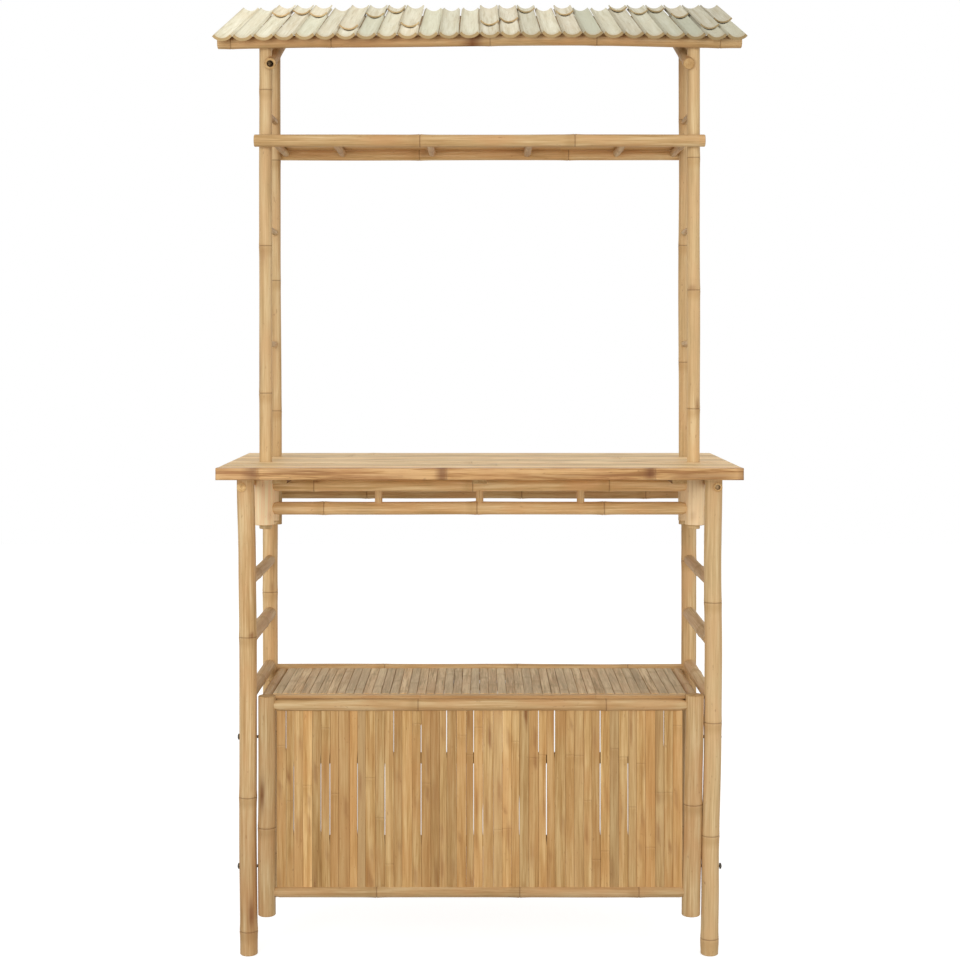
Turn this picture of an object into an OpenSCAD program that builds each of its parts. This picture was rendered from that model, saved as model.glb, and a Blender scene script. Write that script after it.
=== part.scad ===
// Garden bar of bamboo canes: a counter on four legs, a slatted cabinet front and a tiled canopy
// Millimetres, +X to the right, +Y to the back, +Z up, origin on the floor under the middle

/* [Counter] */
// Width of the counter
counter_w = 1064; // [1040:1:1160]
// Depth of the counter from front to back
counter_d = 500; // [470:1:560]
// Height of the counter's top face
counter_h = 1000; // [920:1:1100]
// How far the counter reaches in front of the front legs' axes
counter_overhang = 67; // [50:1:90]
// Thickness of a counter plank
plank_t = 24; // [18:1:30]
// Number of planks side by side
plank_count = 7; // [5:1:9]
// Gap between neighbouring planks
plank_gap = 1.5; // [0.5:0.1:3]
// Width of a batten under the planks
batten_w = 30; // [20:1:36]
// Thickness of a batten under the planks
batten_t = 12; // [8:1:14]
// Room between an outer batten and the sockets beside it
batten_room = 13; // [5:1:40]
// How far the battens' ends stay back from the counter's edges
batten_inset = 20; // [10:1:25]

/* [Legs] */
// How far the legs' axes stand in from the counter's ends
leg_inset = 58; // [50:1:80]
// Distance between the front and back legs' axes
leg_depth = 367; // [350:1:385]
// Diameter of a front leg
leg_d = 36; // [34:0.5:40]
// Diameter of a back leg
back_leg_d = 34; // [32:0.5:38]
// Distance between the nodes of a leg's cane
leg_node_pitch = 290; // [280:1:300]

/* [Side frames] */
// Diameter of the rail along the top of each side
side_rail_d = 19; // [16:0.5:22]
// Height of the side rail's axis under the counter's top face
side_rail_drop = 42; // [40:1:46]
// How far the side rail's axis stands outside the legs' axes
side_rail_out = 12; // [10:0.5:14]
// How far the side rail's ends stand proud of the legs
side_rail_proud = 3; // [1:0.5:8]
// Height of the upper rung
upper_rung_z = 763; // [740:1:790]
// Diameter of the upper rung
upper_rung_d = 24; // [20:0.5:28]
// Height of the middle rung
middle_rung_z = 643; // [620:1:665]
// Diameter of the middle rung
middle_rung_d = 28; // [22:0.5:30]
// Height of the lower rung
lower_rung_z = 526; // [522:1:540]
// Diameter of the lower rung
lower_rung_d = 26; // [22:0.5:28]
// Diameter of the tenon on a rung's end
rung_tenon_d = 14; // [10:0.5:15]

/* [Post sockets and apron] */
// Outer diameter of a front post socket
socket_d = 39; // [37:0.5:42]
// Outer diameter of a back post socket
back_socket_d = 34; // [32:0.5:37]
// Length of a front post socket
socket_len = 110; // [100:1:125]
// Length of a back post socket
back_socket_len = 119; // [105:1:130]
// How far a socket is let into the side rail
socket_housing = 1; // [0.5:0.1:2]
// How far a socket's axis stands outside its post's axis
socket_offset = 2.7; // [2:0.1:3]
// Height of the upper apron rail's axis under the counter's top face
apron_upper_drop = 52; // [50:1:54]
// Diameter of the upper apron rail
apron_upper_d = 20; // [16:0.5:21]
// Height of the lower apron rail's axis under the counter's top face
apron_lower_drop = 100; // [94:1:104]
// Diameter of the lower apron rail
apron_lower_d = 25; // [20:0.5:28]
// Diameter of the apron rails' tenons
apron_tenon_d = 12; // [8:0.5:14]
// Diameter of a strut between the apron rails
strut_d = 16; // [12:0.5:18]
// Distance between the struts, as a share of the distance between the left and right posts
strut_share = 0.236; // [0.2:0.001:0.26]
// Height of the back apron rail's axis under the counter's top face
back_apron_drop = 80; // [74:1:90]
// Diameter of the back apron rail
back_apron_d = 26; // [20:0.5:28]
// Diameter of the peg in the outer side of a front socket
peg_d = 20; // [16:0.5:24]
// How far a peg stands out from its socket's axis
peg_reach = 30; // [27:0.5:34]

/* [Canopy posts] */
// Diameter of a front post
post_d = 27; // [26:0.5:28]
// Diameter of a back post
back_post_d = 22; // [20:0.5:23]
// Distance of the front posts' axes behind the front legs' axes
post_y = 130; // [120:1:140]
// How far the back posts' axes stand in front of the back legs' axes
back_post_in = 60; // [52:1:70]
// Height of the front posts above the counter
post_rise = 890; // [860:1:940]
// How far the posts stand out below their sockets
post_proud = 8; // [4:1:14]
// Height of the lowest canopy rung above the counter
canopy_rung_first = 251; // [220:1:280]
// Distance between the canopy rungs
canopy_rung_pitch = 247; // [235:1:255]
// Number of rungs on each side of the canopy
canopy_rung_count = 3; // [2:1:3]
// Diameter of a canopy rung
canopy_rung_d = 13; // [10:0.5:15]
// Distance between the nodes of a post's cane
post_node_pitch = 262; // [255:1:270]

/* [Bottle shelf] */
// Height of the shelf rails' axes above the counter
shelf_rise = 680; // [660:1:700]
// Diameter of a shelf rail
shelf_rail_d = 21.5; // [19:0.5:25]
// How far the shelf's front rail runs past the posts' axes
shelf_front_past = 21; // [16:1:40]
// How far the shelf's back rail runs past the posts' axes
shelf_back_past = 15; // [12:1:40]
// Diameter of a cross bar
shelf_bar_d = 16; // [12:0.5:17]
// How far the cross bars' axes lie under the rails' axes
shelf_bar_drop = 3; // [2:0.5:4]
// Distance between the two inner cross bars, as a share of the posts' span
shelf_bar_inner = 0.233; // [0.2:0.001:0.26]
// Distance between the next two cross bars, as a share of the posts' span
shelf_bar_outer = 0.6725; // [0.6:0.0005:0.7]
// Number of slats on the bottle shelf
shelf_slat_count = 6; // [4:1:7]
// Thickness of a slat on the bottle shelf
shelf_slat_t = 5; // [4:0.5:7]

/* [Roof] */
// Slope of the roof in degrees, down to the front
roof_slope = 18; // [17.5:0.1:18.5]
// Depth of the roof seen from above
roof_d = 450; // [440:1:470]
// How far the roof reaches in front of the front beam's axis
eave = 35; // [25:1:45]
// How far the roof beams run past the posts' axes
roof_beam_past = 98; // [85:1:104]
// How far the tiles run past the roof beams' ends
tile_past = 7.3; // [0:0.1:12]
// Diameter of a roof beam
roof_beam_d = 21; // [18:0.5:24]
// How far the front beam's axis lies under the front posts' tops
front_beam_drop = 6; // [4:1:8]
// Distance of the back beam's axis behind the back posts' axes
back_beam_reach = 173; // [165:1:180]
// Diameter of a rafter
rafter_d = 24; // [21:0.5:26]
// How far the rafters' axes stand inside the posts' axes
rafter_in = 12; // [11:0.5:14]
// Height of the rafter's front end under the post's top
rafter_drop = 47; // [42:1:52]
// How far the rafter's front end stands in front of the post
rafter_proud = 9; // [4:1:14]
// How far the rafter runs on behind the back beam
rafter_tail = 22; // [14:1:30]
// Bore of the open cane ends
open_bore_d = 13; // [10:0.5:15]
// Depth of the open cane ends
open_bore_len = 25; // [15:1:40]

/* [Roof tiles] */
// Number of tile columns
tile_count = 26; // [24:1:26]
// Outer radius of a tile, as a share of the distance between columns
tile_curve = 0.557; // [0.54:0.001:0.6]
// Wall of a tile
tile_wall = 5; // [4:0.5:6]
// Light gap between neighbouring tiles
tile_gap = 1; // [0.6:0.1:2]

/* [Cabinet front] */
// Diameter of a panel post
panel_post_d = 36; // [33:0.5:38]
// Gap between a front leg and the panel post bolted to it
panel_gap = 2; // [1.5:0.1:4]
// Height of the panel posts' lower ends
panel_post_bottom = 80; // [60:1:95]
// Height of the panel posts' tops
panel_post_top = 534; // [532:1:560]
// Height of the top rail's axis
panel_top_z = 510; // [507:1:511]
// Diameter of the top rail
panel_top_d = 24; // [21:0.5:25]
// Height of the bottom rail's axis
panel_bottom_z = 127; // [120:1:140]
// Diameter of the bottom rail
panel_bottom_d = 22; // [20:0.5:26]
// Diameter of the panel rails' tenons
panel_tenon_d = 14; // [10:0.5:16]
// Number of upright slats
panel_slat_count = 45; // [40:1:50]
// Thickness of an upright slat
panel_slat_t = 6; // [4:0.5:7]
// Depth of the groove that holds the slats' ends
panel_groove = 8; // [5:0.5:9]
// Light gap between neighbouring slats
slat_gap = 1.2; // [0.6:0.1:2]
// Height of the lower batten behind the slats
low_batten_z = 230; // [200:1:260]
// Height of the upper batten behind the slats
high_batten_z = 400; // [370:1:430]
// Width of a batten behind the slats
panel_batten_w = 22; // [16:1:30]
// Thickness of a batten behind the slats
panel_batten_t = 6; // [4:0.5:9]
// Height of the lower panel bolts
low_bolt_z = 180; // [170:1:195]
// Height of the upper panel bolts
high_bolt_z = 445; // [435:1:460]
// Diameter of a panel bolt
bolt_d = 6; // [5:0.5:8]

/* [Cabinet top] */
// Height of the cabinet top at its front edge
cabinet_top_z = 529; // [528:0.5:530]
// How far the cabinet top falls to the back
cabinet_top_fall = 11; // [8:0.5:13]
// Depth of the strip along the front edge
strip_w = 20; // [19.5:0.5:24]
// How far the strip's coped ends reach round the panel posts
strip_bite = 4; // [2:0.5:6]
// Diameter of the cane along each side of the top
side_cane_d = 20; // [17:0.5:21]
// How far a side cane's axis stands outside its panel post's axis
side_cane_out = 1; // [0:0.5:2]
// How much farther out the side canes stand at the back
side_cane_splay = 7; // [4:0.5:8]
// Number of slats in the cabinet top
top_slat_count = 46; // [40:1:50]
// Thickness of a cabinet top slat
top_slat_t = 6; // [5:0.5:7]
// Height of the back rail's axis
back_rail_z = 516; // [515:0.5:517]
// Diameter of the back rail
back_rail_d = 20; // [18:0.5:22]
// Width of a bearer under the slats
bearer_w = 24; // [16:1:30]
// Thickness of a bearer under the slats
bearer_t = 12; // [10:0.5:13]
// Distance of the first bearer behind the slats' front ends
bearer_first = 20; // [15:1:30]
// Distance of the last bearer in front of the slats' back ends
bearer_last = 36; // [30:1:40]

/* [Fits] */
// Clearance between pieces that seat in one another
fit_gap = 0.3; // [0.2:0.05:0.35]
// Height of a node ring on a cane
ring_rise = 0.6; // [0.4:0.05:0.6]
// Width of a node ring on a cane
ring_w = 8; // [5:0.5:12]
// Depth of a tenon in its bore
tenon_len = 8; // [6:0.5:8.5]

/* [Hidden] */
$fn = 48;

cane_colour = "#cfae78";
dark_cane_colour = "#c09a62";
plank_colour = "#d9bb8c";
slat_colour = "#c39b66";
tile_colour = "#dcd9bf";
metal_colour = "#4a4742";

// Clearance that also lets a node ring pass
cope_gap = fit_gap + ring_rise;
// How far a cutting shape runs on past the piece it cuts
over = 1;

leg_x = counter_w / 2 - leg_inset;
under_top = counter_h - plank_t;
side_rail_z = counter_h - side_rail_drop;
side_rail_x = leg_x + side_rail_out;
side_rail_start = -leg_d / 2 - side_rail_proud;
side_rail_len = leg_depth + (leg_d + back_leg_d) / 2 + 2 * side_rail_proud;

socket_x = side_rail_x - (side_rail_d + socket_d) / 2 - fit_gap + socket_housing;
post_x = socket_x - socket_offset;
batten_x = socket_x - (socket_d + batten_w) / 2 - batten_room;
strut_pitch = strut_share * 2 * post_x;
back_socket_x = side_rail_x - (side_rail_d + back_socket_d) / 2 - fit_gap + socket_housing;
back_post_y = leg_depth - back_post_in;
post_depth = back_post_y - post_y;
socket_wall_in = socket_d / 2 - socket_offset - post_d / 2 - fit_gap;
socket_wall_out = socket_d / 2 + socket_offset - post_d / 2 - fit_gap;
apron_tenon_len = socket_wall_in - fit_gap;
peg_tenon_len = socket_wall_out - fit_gap;
strut_tenon_len = 4;
strut_tenon_d = strut_d / 2;
apron_upper_z = counter_h - apron_upper_drop;
apron_lower_z = counter_h - apron_lower_drop;
back_apron_z = counter_h - back_apron_drop;

post_bottom = under_top - socket_len - post_proud;
back_post_bottom = under_top - back_socket_len - post_proud;
post_top = counter_h + post_rise;
canopy_rung_zs = [for (i = [0 : canopy_rung_count - 1])
    counter_h + canopy_rung_first + i * canopy_rung_pitch];

shelf_z = counter_h + shelf_rise;
shelf_front_y = post_y - (post_d + shelf_rail_d) / 2 - cope_gap;
shelf_back_y = back_post_y + (back_post_d + shelf_rail_d) / 2 + cope_gap;
shelf_bar_z = shelf_z - shelf_bar_drop;
shelf_bar_outer_x = post_x - (post_d + shelf_bar_d) / 2 - cope_gap;
shelf_bar_xs = [-shelf_bar_outer_x, -shelf_bar_outer * post_x, -shelf_bar_inner * post_x,
    shelf_bar_inner * post_x, shelf_bar_outer * post_x, shelf_bar_outer_x];
shelf_tenon_len = 6;
shelf_tenon_d = shelf_bar_d / 2;

// The roof's own frame starts on the front beam's axis and rises to the back
beam_y = post_y - (post_d + roof_beam_d) / 2 - cope_gap;
beam_z = post_top - front_beam_drop;
back_beam_y = back_post_y + back_beam_reach;
roof_beam_len = 2 * (post_x + roof_beam_past);
tile_pitch = (roof_beam_len + 2 * tile_past) / tile_count;
tile_r = tile_curve * tile_pitch;
tile_seat = roof_beam_d / 2 + fit_gap;
tile_len = roof_d / cos(roof_slope);
tile_start = -eave / cos(roof_slope);
tile_half_w = (tile_pitch - tile_gap) / 2;
tile_rim = tile_r - sqrt(tile_r * tile_r - tile_half_w * tile_half_w);
tile_inner_r = tile_r - tile_wall;
tile_inner_half_w = sqrt(tile_inner_r * tile_inner_r - pow(tile_r - tile_rim, 2));
// An upper tile rests on the inner edges of the lower tile's rims
upper_tile_lift = tile_rim - tile_r + sqrt(tile_r * tile_r - tile_inner_half_w * tile_inner_half_w)
    + fit_gap;
function beam_height(y) = beam_z + (y - beam_y) * tan(roof_slope);
back_post_top = beam_height(back_post_y) - roof_beam_d / 2 - fit_gap;

// A rafter starts at the front post's notch and lies under the back beam
rafter_x = post_x - rafter_in;
rafter_y = post_y - post_d / 2 - rafter_proud;
rafter_z = post_top - rafter_drop;
rafter_run = back_beam_y - rafter_y;
rafter_lift = beam_height(back_beam_y) - rafter_z;
rafter_reach = norm([rafter_run, rafter_lift]);
rafter_under = (rafter_d + roof_beam_d) / 2 + fit_gap;
rafter_angle = atan2(rafter_lift, rafter_run) - asin(rafter_under / rafter_reach);
rafter_len = sqrt(rafter_reach * rafter_reach - rafter_under * rafter_under) + rafter_tail;

// Column of each upper tile, and its length as a share of a lower tile's
UPPER_TILES = [[3, 0.285], [4, 0.2], [5, 0.305], [7, 0.8], [8, 0.33], [9, 0.14], [10, 0.71],
    [14, 0.665], [15, 0.55], [16, 0.13], [18, 0.255], [21, 0.085], [22, 0.2], [23, 0.115],
    [24, 0.34], [25, 0.75], [26, 0.52]];

panel_post_x = leg_x - (leg_d + panel_post_d) / 2 - panel_gap;
// The slats' field, with a little room beside each panel post
panel_room = 1.5;
panel_field_w = 2 * panel_post_x - panel_post_d - 2 * panel_room;
panel_slat_pitch = panel_field_w / panel_slat_count;
bolt_head_d = 2 * bolt_d;
bolt_head_t = 3;
// How far a coach screw's end stands out of its head
bolt_tip = 1;
bolt_end_x = panel_post_x - panel_post_d / 4;
screw_d = 4;
// Room between a screw's tip and the post in the socket
screw_room = 2;
nail_d = 3;
nail_len = 12;
small_head_t = 2;
// The upper nails' distance under the side rail
nail_drop = 12;
nail_z = side_rail_z - side_rail_d / 2 - nail_drop;
leg_plain_end = under_top - nail_z + 4 * nail_d + ring_w;

slat_front_y = strip_w + fit_gap;
top_slat_len = leg_depth - back_rail_d / 2 - cope_gap - slat_front_y;
fall_angle = atan(cabinet_top_fall / top_slat_len);
side_cane_x = panel_post_x + side_cane_out;
splay_angle = atan(side_cane_splay / top_slat_len);
side_cane_z = -side_cane_d / 2;
top_field_w = 2 * (side_cane_x - side_cane_d / 2 - cope_gap);
top_slat_pitch = top_field_w / top_slat_count;
bearer_z = -top_slat_t - fit_gap - bearer_t / 2;
bearer_tenon_d = bearer_t / 2;
bearer_tenon_len = 5;
bearer_ys = [bearer_first, (bearer_first + top_slat_len - bearer_last) / 2, top_slat_len - bearer_last];

// Moves the bar so that the middle of its depth lies over the origin
depth_front = -counter_overhang;
depth_back = beam_y + roof_d - eave - tile_seat * sin(roof_slope);
module placed() {
    translate([0, -(depth_front + depth_back) / 2, 0]) children();
}

module on_side(side) {
    if (side < 0) mirror([1, 0, 0]) children();
    else children();
}

module along_x() {
    rotate([0, 90, 0]) children();
}

module along_y() {
    rotate([-90, 0, 0]) children();
}

// A cane with a raised ring at each of its nodes, the first of them after a share of the pitch,
// and none of them within its plain end
module cane(len, d, first, pitch, plain_end = 2 * ring_w) {
    r = d / 2;
    crest = r + ring_rise;
    ring_zs = [for (z = [first * pitch : pitch : len - plain_end]) z];
    rotate_extrude() polygon(concat(
        [[0, 0], [r, 0]],
        [for (z = ring_zs) each [[r, z - ring_w / 2], [crest, z - ring_w / 8],
            [crest, z + ring_w / 8], [r, z + ring_w / 2]]],
        [[r, len], [0, len]]));
}

module open_end() {
    translate([0, 0, -over]) cylinder(h = open_bore_len + over, d = open_bore_d);
}

// Room for a member that crosses the end of a cane
module crossing(d, turn) {
    rotate(turn) cylinder(h = 6 * d, d = d + 2 * cope_gap, center = true);
}

// A cane from one member's axis to the next, coped to both and tenoned into them
module coped_cane(span, d, tenon_d, tenon, start_d, end_d, turn, first, pitch) {
    difference() {
        cane(span, d, first, pitch);
        crossing(start_d, turn);
        translate([0, 0, span]) crossing(end_d, turn);
    }
    translate([0, 0, start_d / 2 - tenon])
        cylinder(h = span - (start_d + end_d) / 2 + 2 * tenon, d = tenon_d);
}

// The bore for such a tenon, along +Z from the member's axis
module tenon_bore(member_d, tenon_d, tenon) {
    translate([0, 0, member_d / 2 - tenon - fit_gap])
        cylinder(h = tenon + fit_gap + 2 * ring_w, d = tenon_d + 2 * fit_gap);
}

// A rafter's own frame: +Y along its axis from its front end
module at_rafter() {
    translate([rafter_x, rafter_y, rafter_z]) rotate([rafter_angle, 0, 0]) children();
}

// Room for a rafter in a post; in a front post it is open to the top
module rafter_notch(open) {
    at_rafter() {
        along_y() cylinder(h = rafter_len, d = rafter_d + 2 * cope_gap);
        if (open) translate([-rafter_d / 2 - cope_gap, 0, 0])
            cube([rafter_d + 2 * cope_gap, 3 * post_d, 2 * rafter_drop]);
    }
}

// The side rail's seat in the top of a leg, open upwards and outwards
module rail_saddle(d) {
    translate([side_rail_out, 0, side_rail_z]) {
        rotate([90, 0, 0]) cylinder(h = 2 * d, d = side_rail_d + 2 * cope_gap, center = true);
        translate([-side_rail_d / 2 - cope_gap, -d, 0]) cube([2 * d, 2 * d, 2 * side_rail_drop]);
    }
}

module leg(side, y, d, back, first) {
    color(cane_colour) placed() on_side(side) translate([leg_x, y, 0]) difference() {
        cane(under_top, d, first, leg_node_pitch, leg_plain_end);
        rail_saddle(d);
        for (z = [upper_rung_z, middle_rung_z, lower_rung_z])
            translate([0, 0, z]) rotate([back ? 90 : -90, 0, 0])
                tenon_bore(d, rung_tenon_d, tenon_len);
        for (z = [nail_z, nail_z - 2 * nail_d])
            translate([d / 2 - nail_len - fit_gap, 0, z]) along_x()
                cylinder(h = nail_len + ring_w, d = nail_d + 2 * fit_gap);
        if (back) {
            translate([0, 0, back_apron_z]) rotate([0, -90, 0])
                tenon_bore(d, apron_tenon_d, tenon_len);
            translate([0, 0, back_rail_z]) rotate([0, -90, 0])
                tenon_bore(d, apron_tenon_d, tenon_len);
        } else {
            for (z = [low_bolt_z, high_bolt_z]) translate([0, 0, z]) along_x() {
                translate([0, 0, -d]) cylinder(h = 2 * d, d = bolt_d + 2 * fit_gap);
                translate([0, 0, d / 2]) cylinder(h = d, d = bolt_head_d + 2 * fit_gap);
            }
        }
    }
}

module front_leg_left() { leg(-1, 0, leg_d, false, 0.12); }
module front_leg_right() { leg(1, 0, leg_d, false, 0.293); }
module back_leg_left() { leg(-1, leg_depth, back_leg_d, true, 0.276); }
module back_leg_right() { leg(1, leg_depth, back_leg_d, true, 0.172); }

module side_rail(side, open) {
    color(cane_colour) placed() on_side(side)
        translate([side_rail_x, side_rail_start, side_rail_z]) along_y() difference() {
            cane(side_rail_len, side_rail_d, 0.207, leg_node_pitch);
            if (open) translate([0, 0, -over]) cylinder(h = open_bore_len, d = side_rail_d / 2);
            for (y = [post_y, back_post_y])
                translate([0, 0, y - side_rail_start]) along_x()
                    cylinder(h = 2 * side_rail_d, d = screw_d + 2 * fit_gap, center = true);
        }
}

module side_rail_left() { side_rail(-1, false); }
module side_rail_right() { side_rail(1, true); }

module side_rung(side, z, d, first) {
    color(dark_cane_colour) placed() on_side(side) translate([leg_x, 0, z]) along_y()
        coped_cane(leg_depth, d, rung_tenon_d, tenon_len, leg_d, back_leg_d, [90, 0, 0],
            first, leg_node_pitch);
}

module upper_rung_left() { side_rung(-1, upper_rung_z, upper_rung_d, 0.38); }
module upper_rung_right() { side_rung(1, upper_rung_z, upper_rung_d, 0.52); }
module middle_rung_left() { side_rung(-1, middle_rung_z, middle_rung_d, 0.69); }
module middle_rung_right() { side_rung(1, middle_rung_z, middle_rung_d, 0.31); }
module lower_rung_left() { side_rung(-1, lower_rung_z, lower_rung_d, 0.55); }
module lower_rung_right() { side_rung(1, lower_rung_z, lower_rung_d, 0.76); }

// Planks run across the bar and let the posts through
module planks(first, last) {
    plank_w = (counter_d - (plank_count - 1) * plank_gap) / plank_count;
    color(plank_colour) placed() difference() {
        for (i = [first : last])
            translate([-counter_w / 2, i * (plank_w + plank_gap) - counter_overhang, under_top])
                cube([counter_w, plank_w, plank_t]);
        for (side = [-1, 1]) {
            translate([side * post_x, post_y, under_top - over])
                cylinder(h = plank_t + 2 * over, d = post_d + 2 * fit_gap);
            translate([side * post_x, back_post_y, under_top - over])
                cylinder(h = plank_t + 2 * over, d = back_post_d + 2 * fit_gap);
        }
    }
}

module counter_front_plank() { planks(0, 0); }
module counter_planks() { planks(1, plank_count - 1); }

module counter_battens() {
    color(dark_cane_colour) placed() for (x = [-batten_x, 0, batten_x])
        translate([x - batten_w / 2, batten_inset - counter_overhang, under_top - batten_t])
            cube([batten_w, counter_d - 2 * batten_inset, batten_t]);
}

// A fat cane sleeve under the counter; its bore is set off towards the post's axis
module socket(side, x, y, d, len, bore_d, front) {
    color(cane_colour) placed() on_side(side) difference() {
        translate([x, y, under_top - len]) cylinder(h = len, d = d);
        translate([post_x, y, under_top - len - over])
            cylinder(h = len + 2 * over, d = bore_d + 2 * fit_gap);
        translate([side_rail_x, y, side_rail_z]) rotate([90, 0, 0])
            cylinder(h = 2 * d, d = side_rail_d + 2 * fit_gap, center = true);
        translate([post_x, y, side_rail_z]) along_x() cylinder(h = d, d = screw_d + 2 * fit_gap);
        if (front) {
            for (z = [apron_upper_z, apron_lower_z])
                translate([x, y, z]) rotate([0, -90, 0])
                    cylinder(h = d, d = apron_tenon_d + 2 * fit_gap);
            translate([x, y, apron_lower_z]) along_x()
                cylinder(h = d, d = apron_tenon_d + 2 * fit_gap);
        }
    }
}

module front_socket_left() { socket(-1, socket_x, post_y, socket_d, socket_len, post_d, true); }
module front_socket_right() { socket(1, socket_x, post_y, socket_d, socket_len, post_d, true); }
module back_socket_left() {
    socket(-1, back_socket_x, back_post_y, back_socket_d, back_socket_len, back_post_d, false);
}
module back_socket_right() {
    socket(1, back_socket_x, back_post_y, back_socket_d, back_socket_len, back_post_d, false);
}

// Short cane ends in the outer sides of the front sockets, in line with the lower apron rail
module socket_pegs() {
    color(cane_colour) placed() for (side = [-1, 1]) on_side(side)
        translate([socket_x, post_y, apron_lower_z]) along_x() {
            difference() {
                cylinder(h = peg_reach, d = peg_d);
                crossing(socket_d, [0, 90, 0]);
            }
            translate([0, 0, socket_d / 2 - peg_tenon_len])
                cylinder(h = peg_reach - socket_d / 2 + peg_tenon_len, d = apron_tenon_d);
        }
}

// Screws through the side rails into the sockets' outer walls
module socket_screws() {
    color(metal_colour) placed() for (side = [-1, 1], y = [post_y, back_post_y]) on_side(side)
        translate([0, y, side_rail_z]) along_x() {
            tip_x = post_x + (y == post_y ? post_d : back_post_d) / 2 + screw_room;
            head_x = side_rail_x + side_rail_d / 2;
            translate([0, 0, tip_x]) cylinder(h = head_x - tip_x, d = screw_d);
            translate([0, 0, head_x]) cylinder(h = small_head_t, d = 2 * screw_d);
        }
}

// Small nail pairs in the outer faces of the leg tops, under the side rails
module leg_nails() {
    color(metal_colour) placed() for (side = [-1, 1], back = [false, true]) on_side(side)
        for (z = [nail_z, nail_z - 2 * nail_d])
            translate([leg_x + (back ? back_leg_d : leg_d) / 2, back ? leg_depth : 0, z]) along_x() {
                translate([0, 0, -nail_len]) cylinder(h = nail_len, d = nail_d);
                cylinder(h = small_head_t, d = 2 * nail_d - fit_gap);
            }
}

// Bores for the struts in an apron rail, up or down
module strut_bores(rail_d, turn) {
    for (x = [-strut_pitch, 0, strut_pitch])
        translate([x, 0, 0]) rotate(turn) tenon_bore(rail_d, strut_tenon_d, strut_tenon_len);
}

module apron_rail(z, d, turn, first) {
    color(cane_colour) placed() translate([0, post_y, z]) difference() {
        translate([-socket_x, 0, 0]) along_x()
            coped_cane(2 * socket_x, d, apron_tenon_d, apron_tenon_len, socket_d, socket_d,
                [0, 90, 0], first, leg_node_pitch);
        strut_bores(d, turn);
    }
}

module apron_upper_rail() { apron_rail(apron_upper_z, apron_upper_d, [180, 0, 0], 0.6); }
module apron_lower_rail() { apron_rail(apron_lower_z, apron_lower_d, [0, 0, 0], 0.4); }

module apron_struts() {
    color(cane_colour) placed() for (x = [-strut_pitch, 0, strut_pitch])
        translate([x, post_y, apron_lower_z])
            coped_cane(apron_upper_z - apron_lower_z, strut_d, strut_tenon_d, strut_tenon_len,
                apron_lower_d, apron_upper_d, [0, 90, 0], 1, leg_node_pitch);
}

module back_apron_rail() {
    color(dark_cane_colour) placed() translate([-leg_x, leg_depth, back_apron_z]) along_x()
        coped_cane(2 * leg_x, back_apron_d, apron_tenon_d, tenon_len, back_leg_d, back_leg_d,
            [0, 90, 0], 0.65, leg_node_pitch);
}

module front_post(side, first) {
    color(cane_colour) placed() on_side(side) difference() {
        translate([post_x, post_y, post_bottom])
            cane(post_top - post_bottom, post_d, first, post_node_pitch);
        rafter_notch(true);
        for (z = canopy_rung_zs) translate([post_x, post_y, z]) rotate([-90, 0, 0])
            tenon_bore(post_d, canopy_rung_d, tenon_len);
    }
}

module back_post(side, first) {
    color(dark_cane_colour) placed() on_side(side) difference() {
        translate([post_x, back_post_y, back_post_bottom])
            cane(back_post_top - back_post_bottom, back_post_d, first, post_node_pitch);
        rafter_notch(false);
        for (z = canopy_rung_zs) translate([post_x, back_post_y, z]) rotate([90, 0, 0])
            tenon_bore(back_post_d, canopy_rung_d, tenon_len);
    }
}

module front_post_left() { front_post(-1, 0.763); }
module front_post_right() { front_post(1, 0.897); }
module back_post_left() { back_post(-1, 0.916); }
module back_post_right() { back_post(1, 0.82); }

module canopy_rungs(side) {
    color(dark_cane_colour) placed() on_side(side) for (z = canopy_rung_zs)
        translate([post_x, post_y, z]) along_y()
            translate([0, 0, post_d / 2 - tenon_len])
                cylinder(h = post_depth - (post_d + back_post_d) / 2 + 2 * tenon_len, d = canopy_rung_d);
}

module canopy_rungs_left() { canopy_rungs(-1); }
module canopy_rungs_right() { canopy_rungs(1); }

// A shelf rail lies against the posts and is bored for the cross bars
module shelf_rail(y, past, turn, first) {
    len = 2 * (post_x + past);
    color(cane_colour) placed() difference() {
        translate([-len / 2, y, shelf_z]) along_x() cane(len, shelf_rail_d, first, post_node_pitch);
        for (x = shelf_bar_xs) translate([x, y, shelf_bar_z]) rotate(turn)
            tenon_bore(shelf_rail_d, shelf_tenon_d, shelf_tenon_len);
    }
}

module shelf_front_rail() { shelf_rail(shelf_front_y, shelf_front_past, [-90, 0, 0], 0.27); }
module shelf_back_rail() { shelf_rail(shelf_back_y, shelf_back_past, [90, 0, 0], 0.34); }

module shelf_cross_bars() {
    span = shelf_back_y - shelf_front_y;
    color(dark_cane_colour) placed() for (x = shelf_bar_xs) {
        difference() {
            translate([x, shelf_front_y, shelf_bar_z]) along_y() cylinder(h = span, d = shelf_bar_d);
            translate([x, shelf_front_y, shelf_z]) crossing(shelf_rail_d, [0, 90, 0]);
            translate([x, shelf_back_y, shelf_z]) crossing(shelf_rail_d, [0, 90, 0]);
        }
        translate([x, shelf_front_y + shelf_rail_d / 2 - shelf_tenon_len, shelf_bar_z]) along_y()
            cylinder(h = span - shelf_rail_d + 2 * shelf_tenon_len, d = shelf_tenon_d);
    }
}

module shelf_slats() {
    len = 2 * (post_x - post_d / 2 - cope_gap);
    room = shelf_back_y - shelf_front_y - shelf_rail_d - 2 * cope_gap;
    pitch = (room + slat_gap) / shelf_slat_count;
    color(slat_colour) placed() for (i = [0 : shelf_slat_count - 1])
        translate([-len / 2, shelf_front_y + shelf_rail_d / 2 + cope_gap + i * pitch,
            shelf_bar_z + shelf_bar_d / 2 + fit_gap])
            cube([len, pitch - slat_gap, shelf_slat_t]);
}

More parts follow.
